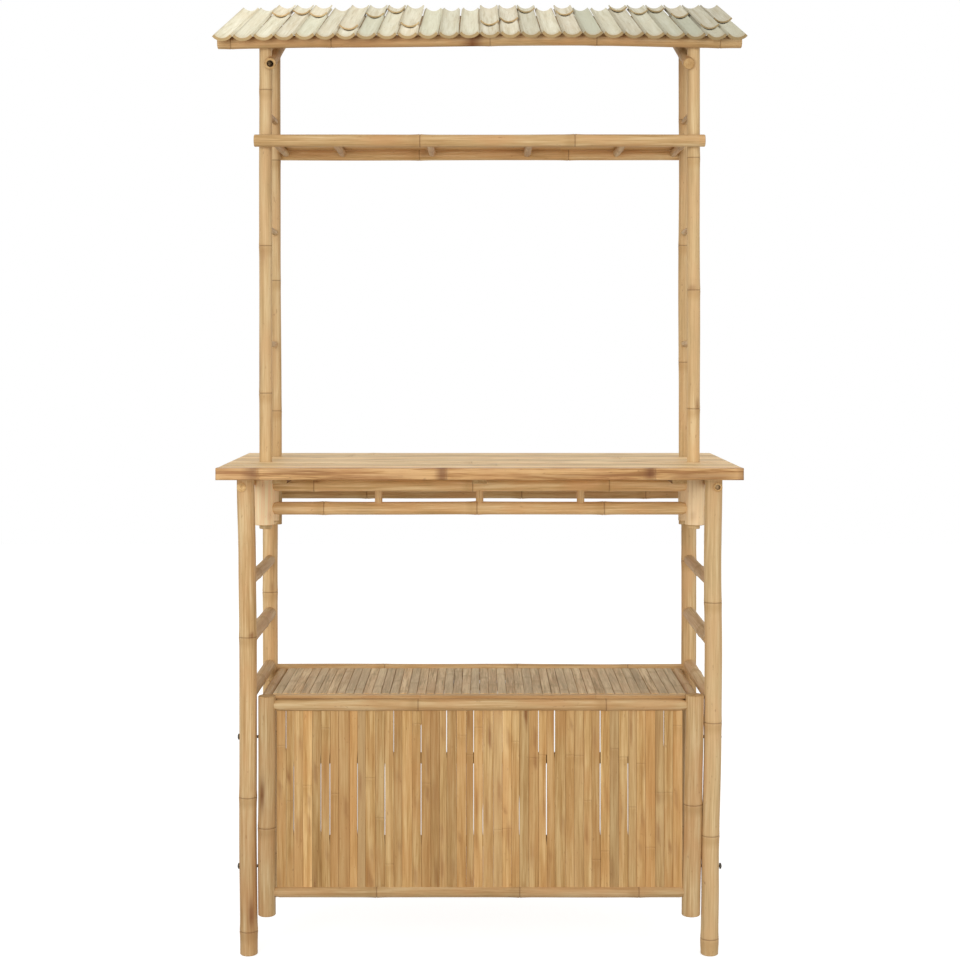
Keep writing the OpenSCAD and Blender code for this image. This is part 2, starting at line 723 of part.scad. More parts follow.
module rafter(side, open) {
    color(cane_colour) placed() on_side(side) at_rafter() along_y() difference() {
        cane(rafter_len, rafter_d, 0.33, leg_node_pitch);
        if (open) open_end();
    }
}

module rafter_left() { rafter(-1, true); }
module rafter_right() { rafter(1, false); }

module roof_beam(y, first) {
    color(cane_colour) placed() translate([-roof_beam_len / 2, y, beam_height(y)]) along_x()
        cane(roof_beam_len, roof_beam_d, first, 8 * tile_pitch);
}

module roof_front_beam() { roof_beam(beam_y, 0.8125); }
module roof_middle_beam() { roof_beam(back_post_y, 0.4375); }
module roof_back_beam() { roof_beam(back_beam_y, 0.6875); }

// One split cane, hollow side up, from the roof's front edge or down from its back edge
module tile(column, start, len, lift) {
    x = (column - (tile_count + 1) / 2) * tile_pitch;
    translate([x, beam_y, beam_z]) rotate([roof_slope, 0, 0])
        translate([0, start, tile_seat + lift + tile_r]) along_y() linear_extrude(len) difference() {
            circle(tile_r);
            circle(tile_r - tile_wall);
            translate([-2 * tile_r, -2 * tile_r]) square([4 * tile_r, 3 * tile_r - tile_rim]);
        }
}

module roof_lower_tiles() {
    color(tile_colour) placed() for (column = [1 : tile_count])
        tile(column, tile_start, tile_len, 0);
}

module roof_upper_tiles() {
    color(tile_colour) placed() for (upper = UPPER_TILES) if (upper[0] <= tile_count) {
        len = upper[1] * tile_len;
        tile(upper[0], tile_start + tile_len - len, len, upper_tile_lift);
    }
}

module panel_post(side, first) {
    color(cane_colour) placed() on_side(side) difference() {
        translate([panel_post_x, 0, panel_post_bottom])
            cane(panel_post_top - panel_post_bottom, panel_post_d, first, leg_node_pitch);
        for (z = [panel_top_z, panel_bottom_z])
            translate([panel_post_x, 0, z]) rotate([0, -90, 0])
                tenon_bore(panel_post_d, panel_tenon_d, tenon_len);
        for (z = [low_bolt_z, high_bolt_z])
            translate([bolt_end_x - fit_gap, 0, z]) along_x()
                cylinder(h = panel_post_d, d = bolt_d + 2 * fit_gap);
        at_side_cane() cylinder(h = panel_post_d, d = side_cane_d / 2 + 2 * fit_gap);
    }
}

module panel_post_left() { panel_post(-1, 0.483); }
module panel_post_right() { panel_post(1, 0.207); }

module panel_rail(z, d, groove_side, first) {
    color(cane_colour) placed() difference() {
        translate([-panel_post_x, 0, z]) along_x()
            coped_cane(2 * panel_post_x, d, panel_tenon_d, tenon_len, panel_post_d, panel_post_d,
                [0, 90, 0], first, post_node_pitch);
        translate([0, 0, z + groove_side * (d - panel_groove)])
            cube([panel_field_w + panel_room, panel_slat_t + 2 * fit_gap, d], center = true);
    }
}

module panel_top_rail() { panel_rail(panel_top_z, panel_top_d, -1, 0.5); }
module panel_bottom_rail() { panel_rail(panel_bottom_z, panel_bottom_d, 1, 0.8); }

// Upright split canes, their ends seated in the rails' grooves
module panel_slats() {
    low = panel_bottom_z + panel_bottom_d / 2 - panel_groove + fit_gap;
    high = panel_top_z - panel_top_d / 2 + panel_groove - fit_gap;
    color(slat_colour) placed() for (i = [0 : panel_slat_count - 1])
        translate([-panel_field_w / 2 + i * panel_slat_pitch + slat_gap / 2, -panel_slat_t / 2, low])
            cube([panel_slat_pitch - slat_gap, panel_slat_t, high - low]);
}

module panel_battens() {
    color(dark_cane_colour) placed() for (z = [low_batten_z, high_batten_z])
        translate([-panel_field_w / 2, panel_slat_t / 2, z - panel_batten_w / 2])
            cube([panel_field_w, panel_batten_t, panel_batten_w]);
}

// Coach screws through the front legs into the panel posts
module panel_bolts() {
    head_x = leg_x + leg_d / 2;
    color(metal_colour) placed() for (side = [-1, 1], z = [low_bolt_z, high_bolt_z]) on_side(side)
        translate([0, 0, z]) along_x() {
            translate([0, 0, bolt_end_x]) cylinder(h = head_x - bolt_end_x, d = bolt_d);
            translate([0, 0, head_x]) cylinder(h = bolt_head_t, d = bolt_head_d);
            translate([0, 0, head_x + bolt_head_t]) cylinder(h = bolt_tip, d = bolt_d);
        }
}

// The cabinet top's frame: the middle of the slats' front ends, level with their upper faces
module on_cabinet_top() {
    translate([0, slat_front_y, cabinet_top_z]) rotate([-fall_angle, 0, 0]) children();
}

module at_side_cane() {
    on_cabinet_top() translate([side_cane_x, -slat_front_y, side_cane_z])
        rotate([0, 0, -splay_angle]) along_y() children();
}

// A strip on the top rail, coped to the panel posts
module cabinet_top_strip() {
    bottom = panel_top_z + panel_top_d / 2 + cope_gap;
    half_w = panel_post_x - panel_post_d / 2 + strip_bite;
    color(dark_cane_colour) placed() difference() {
        translate([-half_w, 0, bottom]) cube([2 * half_w, strip_w, cabinet_top_z - bottom]);
        for (side = [-1, 1]) translate([side * panel_post_x, 0, bottom])
            cylinder(h = panel_post_d, d = panel_post_d + 2 * cope_gap, center = true);
    }
}

// Slats fan out a little to the back, as far as the side canes do
module cabinet_top_slats() {
    color(slat_colour) placed() on_cabinet_top() for (i = [0 : top_slat_count - 1]) {
        x = (i - (top_slat_count - 1) / 2) * top_slat_pitch;
        fan = side_cane_splay * x / side_cane_x;
        translate([x, 0, -top_slat_t]) rotate([0, 0, -atan(fan / top_slat_len)])
            translate([-(top_slat_pitch - slat_gap) / 2, fit_gap / 2, 0])
                cube([top_slat_pitch - slat_gap, top_slat_len - 2 * fit_gap, top_slat_t]);
    }
}

// Bearers under the slats, tenoned into the side canes
module cabinet_top_bearers() {
    color(dark_cane_colour) placed() on_cabinet_top() for (y = bearer_ys) {
        half_w = side_cane_x + (y + slat_front_y) * tan(splay_angle) - side_cane_d / 2 - cope_gap;
        translate([-half_w, y - bearer_w / 2, bearer_z - bearer_t / 2])
            cube([2 * half_w, bearer_w, bearer_t]);
        translate([-half_w - bearer_tenon_len, y, bearer_z]) along_x()
            cylinder(h = 2 * (half_w + bearer_tenon_len), d = bearer_tenon_d);
    }
}

module side_cane(side, first) {
    bore_reach = bearer_tenon_len + fit_gap;
    color(cane_colour) placed() on_side(side) {
        difference() {
            at_side_cane() cane(leg_depth - over, side_cane_d, first, leg_node_pitch);
            translate([panel_post_x, 0, cabinet_top_z])
                cylinder(h = 4 * panel_post_d, d = panel_post_d + 2 * cope_gap, center = true);
            translate([panel_post_x, leg_depth, back_rail_z]) crossing(back_rail_d, [0, 90, 0]);
            on_cabinet_top() for (y = bearer_ys)
                translate([0, y, bearer_z]) along_x()
                    cylinder(h = side_cane_x + (y + slat_front_y) * tan(splay_angle)
                        - side_cane_d / 2 - cope_gap + bore_reach, d = bearer_tenon_d + 2 * fit_gap);
        }
        at_side_cane() translate([0, 0, panel_post_d / 2 - tenon_len + over])
            cylinder(h = 2 * tenon_len, d = side_cane_d / 2);
    }
}

module cabinet_side_cane_left() { side_cane(-1, 0.517); }
module cabinet_side_cane_right() { side_cane(1, 0.31); }

module cabinet_back_rail() {
    color(cane_colour) placed() translate([-leg_x, leg_depth, back_rail_z]) along_x()
        coped_cane(2 * leg_x, back_rail_d, apron_tenon_d, tenon_len, back_leg_d, back_leg_d,
            [0, 90, 0], 0.83, leg_node_pitch);
}

front_leg_left();
front_leg_right();
back_leg_left();
back_leg_right();
side_rail_left();
side_rail_right();
upper_rung_left();
upper_rung_right();
middle_rung_left();
middle_rung_right();
lower_rung_left();
lower_rung_right();
counter_front_plank();
counter_planks();
counter_battens();
front_socket_left();
front_socket_right();
back_socket_left();
back_socket_right();
socket_pegs();
socket_screws();
apron_upper_rail();
apron_lower_rail();
apron_struts();
back_apron_rail();
front_post_left();
front_post_right();
back_post_left();
back_post_right();
canopy_rungs_left();
canopy_rungs_right();
shelf_front_rail();
shelf_back_rail();
shelf_cross_bars();
shelf_slats();
rafter_left();
rafter_right();
roof_front_beam();
roof_middle_beam();
roof_back_beam();
roof_lower_tiles();
roof_upper_tiles();
panel_post_left();
panel_post_right();
panel_top_rail();
panel_bottom_rail();
panel_slats();
panel_battens();
panel_bolts();
cabinet_top_strip();
cabinet_top_slats();
cabinet_top_bearers();
cabinet_side_cane_left();
cabinet_side_cane_right();
cabinet_back_rail();
leg_nails();
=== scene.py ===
"""Looks of the bamboo garden bar.

Each node of canes, boards, slats or tiles in the frame gets a finished piece: canes with nodes, a slight
bow and cut ends, boards and slats with worn edges that carry painted shade, tiles with a wavy rim. Screws
and nails keep the frame's shapes. Lengths are in metres.
"""

import math
import random

import bmesh
import bpy
from mathutils import Matrix, Vector, noise


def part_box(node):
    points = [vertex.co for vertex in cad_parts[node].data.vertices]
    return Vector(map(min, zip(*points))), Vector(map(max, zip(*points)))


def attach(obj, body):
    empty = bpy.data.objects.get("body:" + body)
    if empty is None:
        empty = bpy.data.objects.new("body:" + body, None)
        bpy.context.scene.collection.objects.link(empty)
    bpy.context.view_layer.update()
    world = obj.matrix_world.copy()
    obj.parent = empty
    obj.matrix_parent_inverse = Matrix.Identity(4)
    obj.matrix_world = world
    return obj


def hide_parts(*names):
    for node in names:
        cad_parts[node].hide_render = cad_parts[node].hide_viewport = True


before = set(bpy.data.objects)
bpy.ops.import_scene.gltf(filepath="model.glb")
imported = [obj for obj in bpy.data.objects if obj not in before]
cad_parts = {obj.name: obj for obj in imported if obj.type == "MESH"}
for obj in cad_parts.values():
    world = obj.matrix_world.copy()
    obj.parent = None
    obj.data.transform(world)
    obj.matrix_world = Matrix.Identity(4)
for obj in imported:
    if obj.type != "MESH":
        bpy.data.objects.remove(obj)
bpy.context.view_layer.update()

MM = 0.001
# Materials of a cane or board, by their place in its list: skin or face, cut end, and a cane's hollow
SKIN, CUT, HOLLOW = 0, 1, 2
# Materials of a tile: inner face, cut end and skin side
INNER, RIM, OUTER = 0, 1, 2
SEED = 26
rng = random.Random(SEED)
# Without a seed, Blender's vector noise would take its offsets from the clock
noise.seed_set(SEED)

# The photograph's view: how far in front of the front legs the camera stood, its height, lens and shift
VIEW_DISTANCE = 3.5
VIEW_HEIGHT = 1.244
LENS = 64.0
SHIFT = (0.0004, -0.1385)


# Shader nodes and materials


# Sockets of a Mix node that mixes colours
FACTOR, FIRST, SECOND = 0, 6, 7
MIXED = 2


def colour(hex_value):
    """An sRGB hex value as a linear colour."""
    parts = [int(hex_value[i : i + 2], 16) / 255 for i in (1, 3, 5)]
    return [c / 12.92 if c <= 0.04045 else ((c + 0.055) / 1.055) ** 2.4 for c in parts] + [1.0]


def add(tree, kind, inputs=None, stops=None, **settings):
    """Adds a shader node, sets its properties and its ramp's stops, and fills or links its inputs."""
    node = tree.nodes.new(kind)
    for name, value in settings.items():
        setattr(node, name, value)
    for socket, value in (inputs or {}).items():
        if isinstance(value, bpy.types.NodeSocket):
            tree.links.new(value, node.inputs[socket])
        else:
            node.inputs[socket].default_value = value
    for i, (position, shade) in enumerate(stops or []):
        band = node.color_ramp.elements
        stop = band[i] if i < 2 else band.new(position)
        stop.position = position
        stop.color = colour(shade)
    return node


def new_material(name):
    """A new material with its node tree and its surface shader."""
    material = bpy.data.materials.new(name)
    material.use_nodes = True
    tree = material.node_tree
    return material, tree, tree.nodes["Principled BSDF"]


def along_fibre(tree, across, along):
    """Places on the piece, scaled so that noise gives streaks of this width and length along the fibre."""
    grain = add(tree, "ShaderNodeAttribute", attribute_name="grain").outputs["Vector"]
    scale = (1 / across, 1 / across, 1 / along)
    return add(tree, "ShaderNodeMapping", {"Vector": grain, "Scale": scale}).outputs[0]


# Width, length, detail and roughness of the noise for bundles of fibre, single fibres, clouds as wide as a
# culm and specks
PATTERNS = (
    (9 * MM, 220 * MM, 4.0, 0.6),
    (2.2 * MM, 90 * MM, 3.0, 0.65),
    (38 * MM, 110 * MM, 3.0, 0.5),
    (5 * MM, 13 * MM, 2.0, 0.5),
)
# How much the single fibres count beside the bundles, and the middle of what the two give together
FINE_SHARE = 0.4
STREAK_MIDDLE = 0.49
# Depth of the streaks in the surface
STREAK_RELIEF = 0.8 * MM
NODE_SHADE = "#6b4526"


def bamboo(name, shades, roughness, mark_shade, coat=0.0, spread=0.13, speck_strength=0.35):
    """Bamboo with streaks along its fibre, node lines, scorched places, painted gap shade and a tone for
    each piece.

    shades are the dark, middle and pale colour of the streaks, then a warmer and a greyer tone. A smaller
    spread sets the streaks off more sharply.
    """
    material, tree, surface = new_material(name)
    dark, middle, pale, warm, grey = shades
    wide, fine, cloud, dots = (
        add(tree, "ShaderNodeTexNoise", {"Vector": along_fibre(tree, across, along), "Scale": 1.0,
            "Detail": detail, "Roughness": noise_roughness}).outputs[0]
        for across, along, detail, noise_roughness in PATTERNS
    )
    streak = add(tree, "ShaderNodeMix", {"Factor": FINE_SHARE, "A": wide, "B": fine}).outputs[0]
    stops = [(STREAK_MIDDLE - spread, dark), (STREAK_MIDDLE + spread, pale), (STREAK_MIDDLE, middle)]
    streaks = add(tree, "ShaderNodeValToRGB", {0: streak}, stops=stops).outputs[0]
    cloudy = add(tree, "ShaderNodeMapRange", {"Value": cloud, "From Min": 0.42, "From Max": 0.66,
                 "To Max": 0.55}).outputs[0]
    specks = add(tree, "ShaderNodeMapRange", {"Value": dots, "From Min": 0.68, "From Max": 0.76,
                 "To Max": speck_strength}).outputs[0]
    tint = add(tree, "ShaderNodeAttribute", attribute_name="tint").outputs["Vector"]
    tone, greyness, warmth = add(tree, "ShaderNodeSeparateXYZ", {0: tint}).outputs
    marks = add(tree, "ShaderNodeAttribute", attribute_name="marks").outputs["Vector"]
    # The third mark is stains, and also the painted shade along board edges and at one rim of each tile
    node_line, shade_band, stain = add(tree, "ShaderNodeSeparateXYZ", {0: marks}).outputs
    body = streaks
    layers = ((cloudy, warm), (warmth, warm), (greyness, grey), (specks, mark_shade), (shade_band, dark),
              (stain, mark_shade), (node_line, NODE_SHADE))
    for share, shade in layers:
        body = add(tree, "ShaderNodeMix", {FACTOR: share, FIRST: body, SECOND: colour(shade)},
                   data_type="RGBA").outputs[MIXED]
    toned = add(tree, "ShaderNodeHueSaturation", {"Color": body, "Value": tone})
    tree.links.new(toned.outputs[0], surface.inputs["Base Color"])
    surface.inputs["Roughness"].default_value = roughness
    surface.inputs["Specular IOR Level"].default_value = 0.2
    surface.inputs["Coat Weight"].default_value = coat
    surface.inputs["Coat Roughness"].default_value = 0.3
    bump = add(tree, "ShaderNodeBump", {"Height": streak, "Distance": STREAK_RELIEF, "Strength": 0.5})
    tree.links.new(bump.outputs[0], surface.inputs["Normal"])
    return material


# Round bamboo culm, scraped and brushed with matt lacquer: straw colour with tan streaks and a dull sheen
lacquered_cane = bamboo("lacquered_cane", ("#b28c5a", "#cba775", "#dec192", "#ce9d6b", "#c2ae85"),
                        0.6, "#7c4a28", spread=0.11)
# Thick culm with its skin shaved off: pale straw, matt
shaved_cane = bamboo("shaved_cane", ("#c7a677", "#e0c59c", "#f0dcb8", "#e2bf92", "#dccaa4"),
                     0.7, "#8f6238", spread=0.2)
# The sawn end of a culm: pale porous rim, a little darker than the skin, no gloss
sawn_cane_end = bamboo("sawn_cane_end", ("#a98253", "#c6a06b", "#dabb88", "#b98d58", "#b8a27c"),
                       0.75, "#7c4a28")
# The inside of a culm: brown and papery, with painted shade that makes it nearly black, for the shade in its
# depth
shaded_cane_hollow = bamboo("shaded_cane_hollow", ("#3a2718", "#5d4228", "#7d5d3a", "#4b3420", "#4a3b2c"),
                     0.85, "#24170e")
# Thick culm wall planed to a board and sanded: pale, with long fine lines
sanded_plank = bamboo("sanded_plank", ("#b5905c", "#dfc08c", "#eed4a8", "#e3bd8f", "#d0b684"),
                      0.55, "#7d5a34", spread=0.07)
# The counter's front board keeps the culm's skin side: deeper orange tan with a lacquer gloss
skin_side_board = bamboo("skin_side_board", ("#a07242", "#ca9d65", "#dfb680", "#bb8657", "#c4a36e"),
                         0.5, "#6e4024", coat=0.12, spread=0.06)
# Split culm laid skin side out and sanded flat: each strip has a tone of its own
split_slat = bamboo("split_slat", ("#a57b45", "#c29a62", "#d8b57f", "#bd8a53", "#ab936c"),
                    0.55, "#85532c", coat=0.05, spread=0.11)
# Split culm on the cabinet's top: drier and greyer than the front's, with a dusty face
dry_slat = bamboo("dry_slat", ("#98805b", "#bfa57d", "#d9c39d", "#bd9a70", "#b3a587"),
                  0.65, "#85532c", spread=0.1)
# Sawn bamboo strip under and behind the slats: dull, and painted darker as shade for its place there
shaded_sawn_batten = bamboo("shaded_sawn_batten", ("#8d6539", "#a97e4c", "#bd945e", "#9c6f43", "#94805c"), 0.7, "#5f3d22")
# Raw inner face of split culm: cream with a green or pink cast, dull and dry
inner_face = bamboo("inner_face", ("#c4b697", "#dad2ba", "#e9e2cd", "#dacbae", "#c9cab2"),
                    0.8, "#85775a", spread=0.11, speck_strength=0.55)
# Cut ends of the same split culm: cream to tan, dry
split_rim = bamboo("split_rim", ("#ab8f62", "#ccb286", "#e0cca4", "#cca880", "#b9ab86"), 0.8, "#85775a")
# Skin side of the same split culm, seen from under the roof: tan
tile_skin = bamboo("tile_skin", ("#a98250", "#c39b66", "#d3b07c", "#bb8a58", "#b3a17a"),
                   0.5, "#7c5230", coat=0.12)


def dull_steel():
    """Blackened steel of nails, screws and coach screws: dark, a little brown, with a weak sheen."""
    material, tree, surface = new_material("blackened_steel")
    place = add(tree, "ShaderNodeTexCoord").outputs["Object"]
    spots = add(tree, "ShaderNodeTexNoise", {"Vector": place, "Scale": 1 / (3 * MM), "Detail": 3.0})
    shade = add(tree, "ShaderNodeValToRGB", {0: spots.outputs[0]},
                stops=[(0.35, "#3b3834"), (0.7, "#6a6259")])
    tree.links.new(shade.outputs[0], surface.inputs["Base Color"])
    surface.inputs["Metallic"].default_value = 1.0
    surface.inputs["Roughness"].default_value = 0.5
    return material


blackened_steel = dull_steel()


# Meshes


def new_piece_mesh():
    """An empty mesh with what the bamboo materials read: place along the grain, tint and marks."""
    bm = bmesh.new()
    for layer in ("grain", "tint", "marks"):
        bm.verts.layers.float_vector.new(layer)
    return bm


def colour_piece(bm, tone, greyness, marks, warmth=0.0):
    """Writes the grain, tint and marks of a piece that still lies along its own Z axis."""
    grain, tint, mark = (bm.verts.layers.float_vector[layer] for layer in ("grain", "tint", "marks"))
    shift = Vector([rng.uniform(-4, 4) for _ in range(3)])
    for v in bm.verts:
        v[grain] = v.co + shift
        v[tint] = (1 + tone, greyness, warmth)
        v[mark] = marks(v.co)


# An edge that is sharper than this isn't shaded smooth
CREASE = math.radians(40)


def finish_piece(bm, name, materials, node):
    """Turns a mesh into the object that stands for a node of the frame."""
    for face in bm.faces:
        face.smooth = True
    for edge in bm.edges:
        if len(edge.link_faces) == 2 and edge.calc_face_angle(0) > CREASE:
            edge.smooth = False
    mesh = bpy.data.meshes.new(name)
    bm.to_mesh(mesh)
    bm.free()
    for material in materials:
        mesh.materials.append(material)
    piece = bpy.data.objects.new(name, mesh)
    bpy.context.collection.objects.link(piece)
    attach(piece, "root")
    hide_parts(node)


def group(node, name, materials, meshes):
    """One piece that stands for a node, from the meshes of its canes, boards or tiles and their places."""
    bm = new_piece_mesh()
    for mesh, matrix in meshes:
        bmesh.ops.transform(mesh, matrix=matrix, verts=mesh.verts)
        # The faces would be inside out after a place that mirrors, as both with the face up do
        if matrix.determinant() < 0:
            bmesh.ops.reverse_faces(mesh, faces=mesh.faces)
        carrier = bpy.data.meshes.new("carrier")
        mesh.to_mesh(carrier)
        mesh.free()
        bm.from_mesh(carrier)
        bpy.data.meshes.remove(carrier)
    finish_piece(bm, name, materials, node)


def corners(node):
    """The low and the high corner of a node's box in the frame."""
    return [Vector(corner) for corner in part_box(node)]


def chain(bm, points):
    """A row of vertices joined by edges."""
    verts = [bm.verts.new(p) for p in points]
    return [bm.edges.new(pair) for pair in zip(verts, verts[1:])]


# A culm's node in section: millimetres over the node line, and how far the skin stands out there, in
# hundredths of the radius
NODE_SECTION = [(-26, 0), (-12, 1.2), (-5, 3), (-1.6, 5), (-0.6, 1.6), (0, 0), (0.6, 2), (2.2, 4.4),
                (6, 2.6), (14, 1), (28, 0)]
# How near an even ring of vertices may come to those of a node
NODE_CLEARANCE = 3 * MM
# Reach and strength of the dark line in a node's groove, and the most that stains may cover the skin
NODE_LINE_REACH = 0.9 * MM
NODE_LINE = 0.6
MOST_STAIN = 0.9


def node_swell(height):
    """How far the skin stands out at a height over or under a node line, as a share of the radius."""
    h = height / MM
    for (h0, s0), (h1, s1) in zip(NODE_SECTION, NODE_SECTION[1:]):
        if h0 <= h <= h1:
            return (s0 + (s1 - s0) * (h - h0) / (h1 - h0)) / 100
    return 0.0


def near_node(height, rings, reach, under=0.0):
    """1 at a node line, or this far under one, and falling to 0 beyond the reach."""
    return max([math.exp(-(((height - ring + under) / reach) ** 2)) for ring in rings], default=0)


def skin_heights(length, rings, spacing, rim):
    """Heights of a piece's rings of vertices: even ones, and close ones at the culm's nodes."""
    count = math.ceil(length / spacing)
    heights = [rim + (length - 2 * rim) * i / count for i in range(count + 1)]
    for ring in rings:
        close = [ring + h * MM for h, _ in NODE_SECTION if rim < ring + h * MM < length - rim]
        if close:
            lowest, highest = close[0] - NODE_CLEARANCE, close[-1] + NODE_CLEARANCE
            heights = [h for h in heights if h < lowest or h > highest] + close
    return sorted(set(heights + [rim, length - rim]))


def follow(points, height):
    """A smooth value between the (height, value) points of a bend."""
    for (h0, a), (h1, b) in zip(points, points[1:]):
        if h0 <= height <= h1:
            t = (height - h0) / (h1 - h0)
            return a + (b - a) * t * t * (3 - 2 * t)
    return points[-1][1] if height > points[-1][0] else points[0][1]


# Round canes


# How far a culm strays from its axis, and its waves per metre
SWAY = 1.8 * MM
SWAY_WAVES = 3.2
# How far its skin is from round, as a share of the radius, and the waves of that per metre
UNROUND = 0.012
UNROUND_WAVES = 9
# The darker skin under a node: how far it reaches, and its strength
NODE_BAND_REACH = 9 * MM
NODE_BAND = 0.5
# Depth to which an open end is hollow
HOLLOW_DEPTH = 24 * MM
# How far a cane that is cut thinner at its end tapers
NECK_LENGTH = 14 * MM
# Neither the foot nor the head shows a hollow
CLOSED = (False, False)


def cane_mesh(length, radius, rings=(), hollow=(True, True), tone=0.0, greyness=0.0, stains=(), bend=(),
              wobble=1.0, swell=1.0, steps=26, spacing=16 * MM, wall=0.3, neck=0.0):
    """A cane along +Z from the origin, with its culm's nodes at the heights in rings.

    hollow says whether the foot and the head are open. The wall is a share of the radius. wobble and swell
    scale the sway and the nodes' rise. A stain is (height, side, half length, half width, strength), and its
    side is an angle from the front in degrees. A bend is a list of (height, sideways, backwards) points. A
    neck is how much thinner the cane is cut at its ends, as a share, where it enters another one.
    """
    bm = new_piece_mesh()
    rim = min(1.2 * MM, radius * 0.08)
    bore = radius * (1 - wall)
    depth = min(HOLLOW_DEPTH, length / 4)

    def end_section(base, inward, is_open):
        """An end in section, from the axis out to where the skin begins."""
        bottom = base + inward * depth
        inside = [(0, bottom), (bore, bottom), (bore, base + inward * rim / 2), (bore + rim, base)]
        return (inside if is_open else [(0, base)]) + [(radius - rim, base)]

    section = end_section(0, 1, hollow[0])
    section += [(radius, h) for h in skin_heights(length, rings, spacing, rim)]
    section += reversed(end_section(length, -1, hollow[1]))
    edges = chain(bm, [(r, 0, h) for r, h in section])
    bmesh.ops.spin(bm, geom=edges + list(bm.verts), cent=(0, 0, 0), axis=(0, 0, 1), angle=math.tau,
                   steps=steps, use_merge=True)
    bmesh.ops.remove_doubles(bm, verts=bm.verts, dist=0.02 * MM)
    bmesh.ops.recalc_face_normals(bm, faces=bm.faces)
    for face in bm.faces:
        middle = face.calc_center_median()
        at_end = middle.z < rim or middle.z > length - rim
        open_here = hollow[0] if middle.z < length / 2 else hollow[1]
        inside = open_here and math.hypot(middle.x, middle.y) < bore + rim / 2
        face.material_index = HOLLOW if inside else CUT if at_end else SKIN

    def cane_marks(co):
        """Strength of the node line, the band under it and the stains at a place on the skin."""
        stain = 0.0
        for height, side, half_length, half_width, strength in stains:
            off = math.degrees(math.atan2(co.x, -co.y)) - side
            turn = math.radians((off + 180) % 360 - 180) * radius
            stain += strength * math.exp(-(((co.z - height) / half_length) ** 2) - (turn / half_width) ** 2)
        line = near_node(co.z, rings, NODE_LINE_REACH) * NODE_LINE
        band = near_node(co.z, rings, NODE_BAND_REACH, under=NODE_BAND_REACH) * NODE_BAND
        return line, band, min(stain, MOST_STAIN)

    colour_piece(bm, tone, greyness, cane_marks)
    seed = Vector([rng.uniform(-9, 9) for _ in range(3)])
    bend = bend or [(0, 0, 0), (length, 0, 0)]
    across = [(h, x) for h, x, _ in bend]
    back = [(h, y) for h, _, y in bend]
    for v in bm.verts:
        x, y, z = v.co
        pinned = math.sin(math.pi * min(max(z / length, 0), 1)) ** 0.5
        out = 1 + swell * sum(node_swell(z - ring) for ring in rings)
        out += UNROUND * noise.noise(Vector((x / radius, y / radius, z * UNROUND_WAVES)) + seed)
        out -= neck * max(0.0, 1 - min(z, length - z) / NECK_LENGTH) ** 0.5
        sway = noise.noise_vector(Vector((0, 0, z * SWAY_WAVES)) + seed) * SWAY * wobble * pinned
        v.co = (x * out + sway.x + follow(across, z), y * out + sway.y + follow(back, z), z)
    return bm


def axis_matrix(start, direction):
    """Stands a piece's Z axis in a direction, with its front kept to the front where it can be."""
    turn = Vector((0, 0, 1)).rotation_difference(Vector(direction).normalized())
    return Matrix.Translation(start) @ turn.to_matrix().to_4x4()


def lone_cane(node, start, direction, length, radius, skin=lacquered_cane, **looks):
    """The one cane that stands for a node."""
    bm = cane_mesh(length, radius, **looks)
    bmesh.ops.transform(bm, matrix=axis_matrix(start, direction), verts=bm.verts)
    finish_piece(bm, node + "_culm", [skin, sawn_cane_end, shaded_cane_hollow], node)


X, Y, Z = 0, 1, 2


def cane(node, axis, radius, bury=(0.0, 0.0), shift=(0.0, 0.0, 0.0), **looks):
    """The cane of a straight node along X, Y or Z. bury is how far its ends reach past the node's."""
    low, high = corners(node)
    length = (high - low)[axis] + bury[0] + bury[1]
    start = (low + high) / 2 + Vector(shift)
    start[axis] = low[axis] - bury[0]
    direction = Vector((0, 0, 0))
    direction[axis] = 1
    lone_cane(node, start, direction, length, radius, **looks)


CANE_MATERIALS = [lacquered_cane, sawn_cane_end, shaded_cane_hollow]

# Legs, rails and rungs: scorched places and nodes are where the photograph shows them. The left front leg
# also has painted shade low down.

FRONT_LEG_RADIUS = 18 * MM
BACK_LEG_RADIUS = 17 * MM
SIDE_RAIL_RADIUS = 9.5 * MM
# The left front leg's last, broad stain is painted shade that darkens it towards the floor
cane("front_leg_left", Z, FRONT_LEG_RADIUS, rings=[0.048, 0.322, 0.65], tone=0.01, swell=1.1,
     stains=[(0.085, 25, 0.03, 0.006, 0.7), (0.655, 30, 0.006, 0.005, 0.8), (0.12, 0, 0.2, 0.08, 0.22)],
     bend=[(0, 0.001, 0), (0.3, -0.001, 0), (0.62, -0.0005, 0), (0.8, -0.0025, 0), (0.976, -0.006, 0)])
cane("front_leg_right", Z, FRONT_LEG_RADIUS, rings=[0.023, 0.033, 0.2435, 0.475, 0.721], tone=0.08,
     greyness=0.3, swell=0.9, bend=[(0, -0.003, 0), (0.15, -0.001, 0), (0.45, 0.0045, 0), (0.6, 0.005, 0),
                                    (0.78, 0.003, 0), (0.976, 0.006, 0)])
cane("back_leg_left", Z, BACK_LEG_RADIUS, rings=[0.1, 0.375, 0.69, 0.9], tone=0.2, greyness=0.2,
     stains=[(0.7, 20, 0.008, 0.006, 0.4)])
cane("back_leg_right", Z, BACK_LEG_RADIUS, rings=[0.16, 0.46, 0.76], tone=0.06, greyness=0.15)
cane("side_rail_left", Y, SIDE_RAIL_RADIUS, rings=[0.17], hollow=(False, True), tone=0.2)
cane("side_rail_right", Y, SIDE_RAIL_RADIUS, rings=[0.2], tone=0.03, wall=0.55)

RUNG_BURY = (3 * MM, 3 * MM)
for side, heights in (("left", (0.12, 0.21, 0.17)), ("right", (0.16, 0.1, 0.23))):
    for place, radius, ring in zip(("upper", "middle", "lower"), (12, 14, 13), heights):
        cane(f"{place}_rung_{side}", Y, radius * MM, bury=RUNG_BURY, rings=[ring],
             tone=rng.uniform(-0.1, -0.02), greyness=0.1, swell=1.5)

# Sockets and apron

